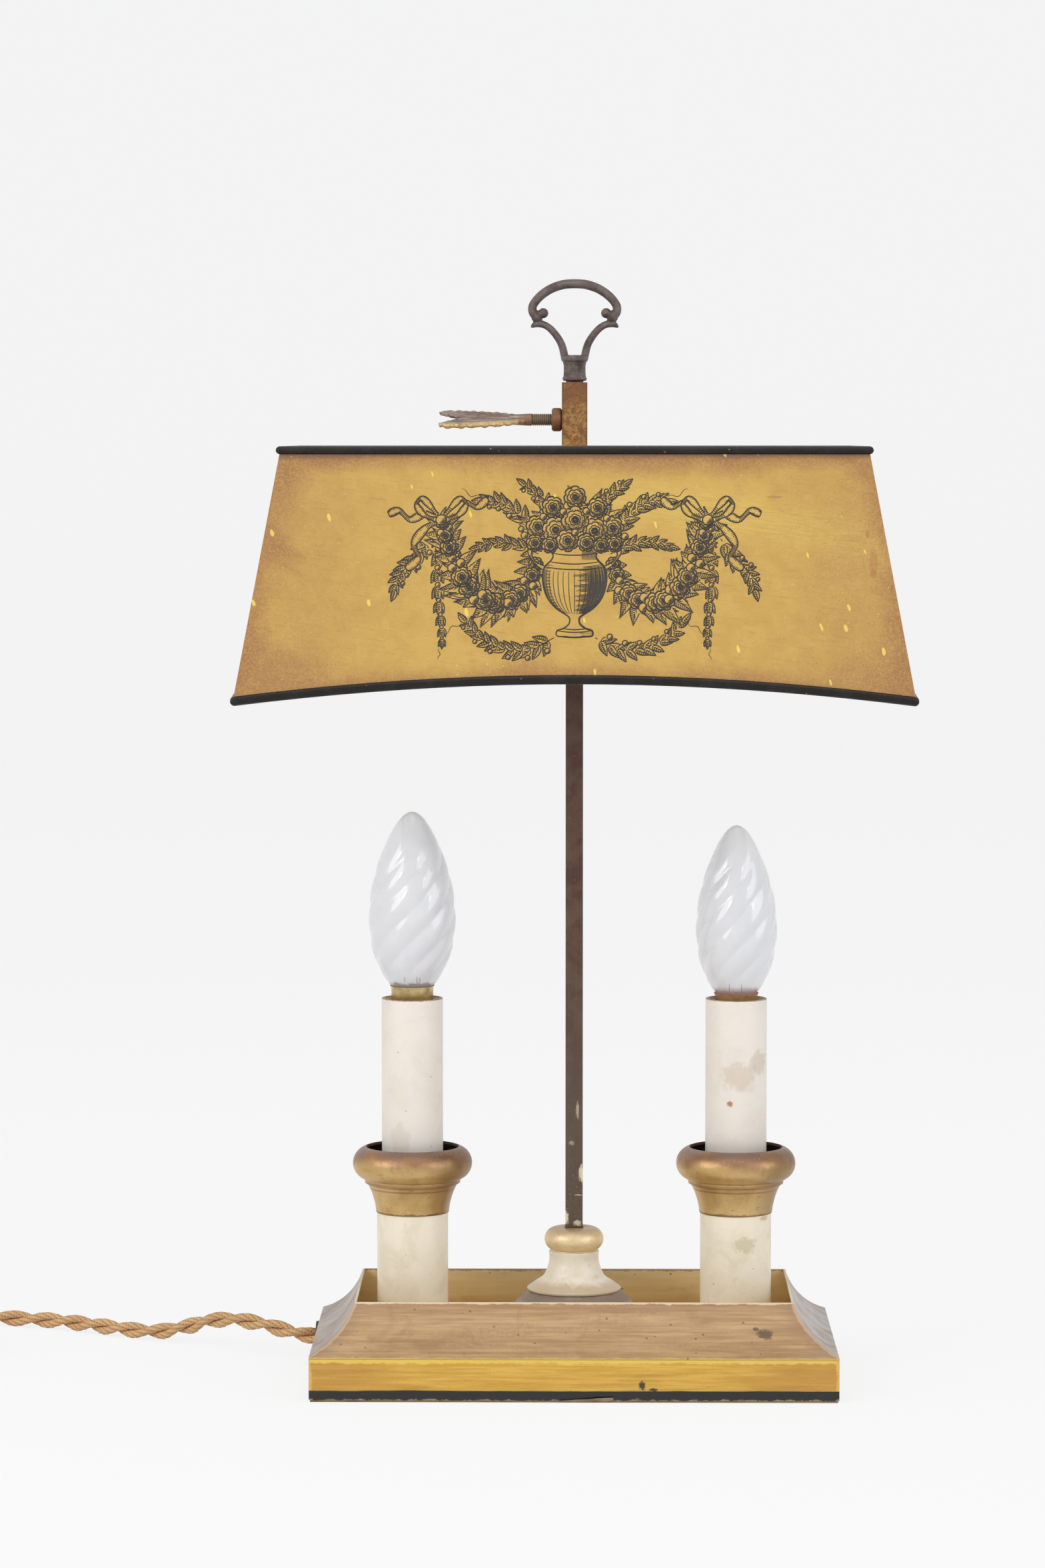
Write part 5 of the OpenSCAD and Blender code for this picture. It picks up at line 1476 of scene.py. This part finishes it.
def glassMaterial():
    values = bulbValues
    paint = Paint("frostedGlass", values["frost"], Roughness=0.34, IOR=1.30, Transmission_Weight=0.26,
                  Coat_Weight=1.0, Coat_Roughness=0.04)
    x, y, z = paint.split()
    cloud, grain = paint.mottle(0.02)
    paint.coat(cloud.ease(0.35, 0.7), values["frostCloud"])
    # a darker ragged band just above the cap, grey on the left bulb and red-brown on the right
    foot = {side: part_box("bulb_glass_" + side)[0].z + values["neck"] for side in ("left", "right")}
    onRight = x > 0.0
    above = z - (onRight * (foot["right"] - foot["left"]) + foot["left"])
    neckBand = paint.worn(above, width=0.0015, size=0.003) * 0.8
    haze = onRight * (grain * 0.002 + above).ease(0.0048, 0.0014, 0.0, 0.75)
    paint.coat(haze.most(neckBand), paint.blend(onRight, values["neckBandLeft"], values["neckBandRight"]))
    for side, aside, rise, tall in values["wires"]:
        wire = paint.spot((aside, -0.0100, foot[side] + rise), (0.00024, 0.006, tall), 0.15)
        paint.coat(wire * 0.55, values["wire"])
    return paint.finish()


def makeGlass(side, material):
    values = bulbValues
    low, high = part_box("bulb_glass_" + side)
    x, y = (low.x + high.x) / 2, (low.y + high.y) / 2
    radius, foot = (high.x - low.x) / 2, low.z + values["neck"]
    neck = values["neckRadius"]
    line = smoothLine([(a, b, 0) for a, b in values["outline"]], 6)
    deselectAll()
    bpy.ops.mesh.primitive_uv_sphere_add(segments=values["columns"], ring_count=values["rows"], radius=1)
    piece = nameActive(side + "Glass")
    # the ball is drawn out into a candle shape with slanting flutes
    for vertex in piece.data.vertices:
        z = low.z + (high.z - low.z) * (vertex.co.z + 1) / 2
        share = (z - foot) / (high.z - foot)
        if share < 0:
            reach = neck + (outlineAt(line, 0) * radius - neck) * easeStep(share, -0.02, 0)
        else:
            reach = radius * outlineAt(line, share)
        turn = math.atan2(vertex.co.y, vertex.co.x)
        fade = 1 - easeStep(share, *values["smoothTop"])
        deep = values["depth"] * easeStep(share, *values["smoothFoot"]) * fade
        reach *= 1 - deep * (1 - abs(math.cos(turn * values["lobes"] / 2)))
        turn += math.radians(values["twist"]) * (z - foot) * 1000
        vertex.co = (*around(x, y, reach, turn), z)
    editWith(piece, "VERT", lambda vertex: vertex.co.z < low.z + 0.00001)
    bpy.ops.mesh.delete(type="VERT")
    leaveEdit()
    modify(piece, "SOLIDIFY", thickness=values["wall"], offset=-1)
    smoothShade(piece, 60)
    assign(piece, material, "bulb_" + side, "bulb_glass", "bulb_glass_" + side)


def makeCement(side, material):
    # the ring of cement between the glass and the cap
    values = bulbValues
    low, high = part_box("bulb_glass_" + side)
    neck = low.z + values["neck"]
    deselectAll()
    place = ((low.x + high.x) / 2, 0, neck - values["cementDrop"])
    bpy.ops.mesh.primitive_torus_add(major_segments=64, minor_segments=10, location=place,
                                     major_radius=values["cementRadius"], minor_radius=values["cementThick"])
    piece = nameActive(side + "Cement")
    editAll(piece)
    bpy.ops.transform.resize(value=(1, 1, 0.8), center_override=(0, 0, neck))
    leaveEdit()
    settle(piece)
    smoothShade(piece, 60)
    assign(piece, material, "bulb_" + side, "bulb_cap")


frostedGlass = glassMaterial()
makeGlass("left", frostedGlass)
makeGlass("right", frostedGlass)
makeCement("left", plain["greyCement"])
makeCement("right", plain["redCement"])

print("handle and key")

handleValues = {
    "grain": 0.00024,
    # one half of the ring, a leg and its pointed wing: across, height, radius, all in millimetres
    "ring": [(0, 442.33, 1.9), (-3.8, 442.13, 1.9), (-7.2, 441.27, 1.88), (-10.3, 439.9, 1.85),
             (-13.2, 437.9, 1.82), (-15.5, 435.6, 1.77), (-16.9, 433.2, 1.75), (-16.7, 430.9, 1.85),
             (-15.3, 429.7, 2.0), (-13.7, 430.1, 1.85), (-12.9, 430.7, 1.7)],
    "leg": [(-17.5, 424.9, 0.35), (-16.9, 425.4, 0.8), (-16.0, 426.0, 1.2), (-14.6, 426.3, 1.4),
            (-12.4, 426.0, 1.45), (-9.8, 424.4, 1.45), (-7.2, 421.4, 1.5), (-5.2, 417.9, 1.55),
            (-4.1, 413.6, 1.6), (-3.8, 411.8, 1.6)],
    "balls": [(-12.6, 430.6, 2.05), (-15.1, 429.0, 2.3)],
    # radius and height of the turned foot
    "foot": [(4.45, 403.5), (4.85, 403.9), (4.9, 404.7), (4.65, 405.0), (4.5, 405.4), (4.38, 407.5),
             (4.4, 409.6), (4.7, 410.9), (4.85, 411.2), (5.15, 411.5), (5.3, 412.2), (5.25, 413.0),
             (4.9, 413.6), (4.2, 413.8)],
}


def taperedTube(name, line):
    # a round bar in the lamp's middle plane, with its own radius at every point
    return barPiece(name, [[(x * mm, 0.0, z * mm, max(r, 0.1)) for x, z, r in smoothLine(line, 4)]], 4)


def ballAt(name, x, z, radius):
    deselectAll()
    place = (x * mm, 0, z * mm)
    bpy.ops.mesh.primitive_uv_sphere_add(segments=32, ring_count=18, radius=radius * mm, location=place)
    return nameActive(name)


def turnedFoot(name, profile, sides=64):
    # a closed turned form round Z
    vertices, faces = [], []
    for radius, height in profile:
        for i in range(sides):
            vertices.append((*around(0, 0, radius * mm, 2 * math.pi * i / sides), height * mm))
    last = (len(profile) - 1) * sides
    for low in range(0, last, sides):
        for i in range(sides):
            j = (i + 1) % sides
            faces.append((low + i, low + j, low + sides + j, low + sides + i))
    faces += [list(reversed(range(sides))), list(range(last, last + sides))]
    return meshPiece(name, vertices, faces)


def fuse(pieces, grain, rounds):
    # joins overlapping forms into one softened casting
    main = pieces[0]
    makeActive(main)
    for other in pieces[1:]:
        other.select_set(True)
    bpy.ops.object.join()
    modify(main, "REMESH", mode="VOXEL", voxel_size=grain)
    modify(main, "SMOOTH", factor=0.5, iterations=rounds)
    return main


def makeRingHandle():
    values = handleValues
    otherHalf = [(-x, z, r) for x, z, r in reversed(values["ring"][1:])]
    pieces = [turnedFoot("ringHandle", values["foot"]), taperedTube("ringBar", otherHalf + values["ring"])]
    for side in (1, -1):
        pieces.append(taperedTube("ringLeg", [(side * x, z, r) for x, z, r in values["leg"]]))
        for x, z, r in values["balls"]:
            pieces.append(ballAt("ringBall", side * x, z, r))
    piece = fuse(pieces, values["grain"], 3)
    smoothShade(piece, 60)
    assign(piece, plain["handleBronze"], "lamp", "handle_bronze", "ring_handle")


leafValues = {
    "axis": 0.388, "long": 0.0345, "start": 0.0030, "wide": 0.0148, "thick": 0.0013, "cup": 0.0002,
    "vein": 0.00034, "notch": 0.27, "turn": 22, "hub": 0.0025, "hubLong": 0.0095, "rim": 0.00098,
    "farRim": 0.0006, "grain": 0.00023,
    "outline": [(0, 0.42), (0.06, 0.50), (0.14, 0.60), (0.28, 0.72), (0.45, 0.83), (0.62, 0.93), (0.8, 1),
                (0.92, 0.98), (1, 0.84)],
    "brown": (0.285, 0.215, 0.18), "dark": (0.17, 0.11, 0.085), "darkStreaks": (0.105, 0.068, 0.052),
    "paleStreaks": (0.52, 0.40, 0.26), "gilt": (0.62, 0.43, 0.19), "stalk": (0.27, 0.14, 0.085),
    "dots": (0.16, 0.085, 0.05),
}


def leafMaterial():
    values = leafValues
    paint = Paint("wornLeafGilt", values["brown"], Metallic=0.45)
    turn = {"Vector": paint.place, "Center": (0, 0, values["axis"]), "Angle": math.radians(-values["turn"])}
    tilted = addLevel(paint.tree, "VectorRotate", turn, rotation_type="X_AXIS")
    x, y, z = paint.split(tilted)
    cloud = paint.mottle(0.006)[0]
    small = paint.mottle(0.0015)[0]
    streaks = paint.streaks(0.0009, 12.0, tilted)[0]
    paint.coat(cloud.ease(0.4, 0.65), values["dark"])
    paint.coat(streaks.ease(0.50, 0.62, 0.0, 0.75), values["darkStreaks"])
    paint.coat(streaks.ease(0.46, 0.36, 0.0, 0.6), values["paleStreaks"])
    # gilt left along the edges and underneath
    reach = abs(y) - x.ease(-0.018, -0.048, 0.0026, 0.0068)
    gilt = (small * 0.0010 + reach).ease(-0.0006, 0.0006) * y.ease(0.001, -0.001, 0.30, 1.0)
    gilt = gilt * cloud.ease(0.62, 0.50, 0.25, 1.0)
    paint.coat(gilt.most(z.ease(0.3879, 0.3874)) * 0.85, values["gilt"])
    paint.coat(x.ease(-0.0235, -0.0200) * 0.8, values["stalk"])
    paint.coat(paint.specks(cell=0.002, share=0.3, radius=0.2) * 0.6, values["dots"])
    return paint.finish(small, 0.0004, 0.5, Roughness=small.ease(0.3, 0.7, 0.34, 0.55))


def leafPoint(along, aside, line, tip):
    # a point of the leaf's middle surface, before it is turned
    values = leafValues
    edge = abs(aside)
    scallop = 1 + 0.04 * math.sin(along * 44) * easeStep(edge, 0.5, 1.0) * easeStep(along, 0.12, 0.3)
    half = values["wide"] / 2 * outlineAt(line, along) * scallop
    short = values["notch"] * (1 - edge) ** 1.2 * along ** 2
    # veins that fan out from the stalk
    vein = abs(math.sin(aside * 4.5 * math.pi)) ** 0.7 * values["vein"] * easeStep(along, 0.05, 0.3)
    feather = 0.35 * math.sin(along * 70 - edge * 9) * values["vein"] * easeStep(edge, 0.35, 0.8)
    z = values["cup"] * aside * aside * easeStep(along, 0.0, 0.4) + vein + feather
    return tip - values["start"] - values["long"] * along * (1 - short), half * aside, z


def leafRim(side, thick, line, tip):
    # a lumpy bar along one edge of the leaf
    rim = []
    for i in range(61):
        along = 0.04 + 0.955 * i / 60
        x, y, z = leafPoint(along, side * 0.94, line, tip)
        lumps = 0.9 + 0.16 * math.sin(along * 44) + 0.07 * math.sin(along * 97)
        rim.append((x, y, z - 0.45 * thick, max(thick * easeStep(along, -0.05, 0.35) * lumps, 0.0001)))
    return barPiece("leafRim", [rim], 3, unit=1.0)


def makeLeafKey():
    values = leafValues
    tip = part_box("leaf_key")[1].x
    line = smoothLine([(a, b, 0) for a, b in values["outline"]], 5)
    deselectAll()
    bpy.ops.mesh.primitive_grid_add(x_subdivisions=72, y_subdivisions=44, size=2)
    piece = nameActive("leafKey")
    for vertex in piece.data.vertices:
        vertex.co = leafPoint((vertex.co.x + 1) / 2, vertex.co.y, line, tip)
    modify(piece, "SOLIDIFY", thickness=values["thick"], offset=0)
    parts = [piece, leafRim(-1, values["rim"], line, tip), leafRim(1, values["farRim"], line, tip)]
    bpy.ops.mesh.primitive_cone_add(vertices=40, radius1=values["hub"], radius2=values["hub"] * 0.8,
                                    depth=values["hubLong"], location=(tip - values["hubLong"] / 2, 0, 0),
                                    rotation=(0, math.radians(-90), 0))
    hub = nameActive("leafStalk")
    modify(hub, "BEVEL", width=0.0004, segments=3)
    piece = fuse(parts + [hub], values["grain"], 2)
    piece.rotation_euler = (math.radians(values["turn"]), 0, 0)
    piece.location = (0, 0, values["axis"])
    settle(piece)
    smoothShade(piece, 60)
    assign(piece, leafMaterial(), "clamp_key", "leaf_gilt", "leaf_key")


threadValues = {"pitch": 0.0008, "depth": 0.00042, "around": 40, "rows": 200}


def makeClampScrew():
    # a rolled sheet of points with one helical groove
    values = threadValues
    low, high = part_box("clamp_screw")
    radius = (high.z - low.z) / 2
    deselectAll()
    bpy.ops.mesh.primitive_grid_add(x_subdivisions=values["rows"], y_subdivisions=values["around"], size=2)
    piece = nameActive("clampScrew")
    for vertex in piece.data.vertices:
        x = low.x + (high.x - low.x) * ((vertex.co.x + 1) / 2)
        turn = math.pi * (vertex.co.y + 1)
        wave = 0.5 - 0.5 * math.cos(2 * math.pi * (x / values["pitch"] + turn / (2 * math.pi)))
        vertex.co = (x, *around(0, (high.z + low.z) / 2, radius - values["depth"] * wave, turn))
    editAll(piece)
    bpy.ops.mesh.remove_doubles(threshold=0.000005)
    leaveEdit()

    def isEnd(edge):
        return all(abs(piece.data.vertices[i].co.x - end) < 0.000004 for i in edge.vertices)

    for end in (low.x, high.x):
        editWith(piece, "EDGE", isEnd)
        bpy.ops.mesh.edge_face_add()
        leaveEdit()
    turnOutwards(piece)
    smoothShade(piece, 50)
    assign(piece, plain["screwPatina"], "clamp_key", "dark_brass", "clamp_screw")


makeRingHandle()
makeLeafKey()
makeClampScrew()

print("cord")

cordTie = dressed("cord_tie", "cordTie", plain["tieCotton"], "lamp", "braid", bevel=0.0003)
dark = plain["darkBakelite"]
plugBody = dressed("plug_body", "plugBody", dark, "lamp", "bakelite", bevel=0.0008, segments=3)
plugPins = dressed("plug_pins", "plugPins", plain["wornBrass"], "lamp", "brass_fittings", bevel=0.0003)
switchBody = dressed("switch_body", "switchBody", dark, "lamp", "bakelite", bevel=0.0008, segments=3)
switchRocker = dressed("switch_rocker", "switchRocker", plain["ivoryPlastic"], "rocker", "ivory_plastic")
twistedCord, cordLine = makeCord()

print("studio")

studioValues = {
    "floorColour": (0.86, 0.86, 0.86), "white": (0.985, 0.985, 0.99), "whiteShare": 0.83,
    "wide": 10.0, "near": -5.0, "far": 4.0, "bend": 1.2, "tall": 4.0,
    "aim": (0.0, 0.0, 0.14), "world": 0.48, "worldSeen": 0.93,
    # place, size, power, colour
    "lights": {
        "keyLight": ((-1.70, -1.20, 1.10), 1.5, 16.6, (1.0, 0.99, 0.97)),
        "keySparkLight": ((-1.25, -1.60, 1.15), 0.40, 3.0, (1.0, 0.99, 0.97)),
        "fillLight": ((1.75, -1.15, 0.90), 1.6, 14.2, (0.98, 0.99, 1.0)),
        "fillSparkLight": ((1.10, -1.65, 1.25), 0.30, 1.4, (0.98, 0.99, 1.0)),
        "topLight": ((0.0, -0.6, 2.2), 1.8, 7.0, (1.0, 1.0, 1.0)),
    },
}


def seenRays(tree):
    # 1 for the rays that show the background itself, in mirror and glass as well
    rays = addNode(tree, "LightPath", {}).outputs
    mirrors = Level(tree, rays["Is Glossy Ray"]).most(rays["Is Transmission Ray"])
    return Level(tree, rays["Is Camera Ray"]).most(mirrors)


def studioMaterial():
    # pale paper that keeps the shadow and shows nearly white behind the lamp
    values = studioValues
    paint = Paint("paperSweep", values["floorColour"], Roughness=0.9, Specular_IOR_Level=0.1)
    glow = addNode(paint.tree, "Emission", {"Color": values["white"], "Strength": 1.0}).outputs[0]
    share = seenRays(paint.tree) * values["whiteShare"]
    both = addNode(paint.tree, "MixShader", {0: share, 1: paint.shader.outputs[0], 2: glow}).outputs[0]
    plug(paint.tree, paint.tree.nodes["Material Output"].inputs["Surface"], both)
    return paint.finish()


def makeSweep():
    # a floor that turns up into a backdrop along a quarter circle
    values = studioValues
    outline = [(values["near"], 0.0)]
    for step in range(17):
        turn = math.pi / 2 * step / 16
        back = values["far"] + values["bend"] * math.sin(turn)
        outline.append((back, values["bend"] * (1 - math.cos(turn))))
    outline.append((values["far"] + values["bend"], values["tall"]))
    vertices = [(side * values["wide"] / 2, y, z) for y, z in outline for side in (-1, 1)]
    faces = [(2 * i, 2 * i + 1, 2 * i + 3, 2 * i + 2) for i in range(len(outline) - 1)]
    sweep = meshPiece("paperSweep", vertices, faces)
    setMaterial(sweep, studioMaterial())
    smoothShade(sweep, 60)


def makeLights():
    for name, (place, size, power, tint) in studioValues["lights"].items():
        bpy.ops.object.light_add(type="AREA", location=place)
        light = bpy.context.object
        light.name = name
        light.data.shape = "DISK"
        light.data.size = size
        light.data.energy = power
        light.data.color = tint
        aim = Vector(studioValues["aim"]) - Vector(place)
        light.rotation_euler = aim.to_track_quat("-Z", "Y").to_euler()


def makeWorld():
    low, seen = studioValues["world"], studioValues["worldSeen"]
    world = bpy.data.worlds.new("softWorld")
    world.use_nodes = True
    bpy.context.scene.world = world
    tree = world.node_tree
    back = tree.nodes["Background"].inputs
    plug(tree, back["Color"], (1.0, 1.0, 1.0))
    plug(tree, back["Strength"], seenRays(tree) * (seen - low) + low)


makeSweep()
makeLights()
makeWorld()
makeCamera()

scene = bpy.context.scene
scene.view_settings.view_transform = "Standard"
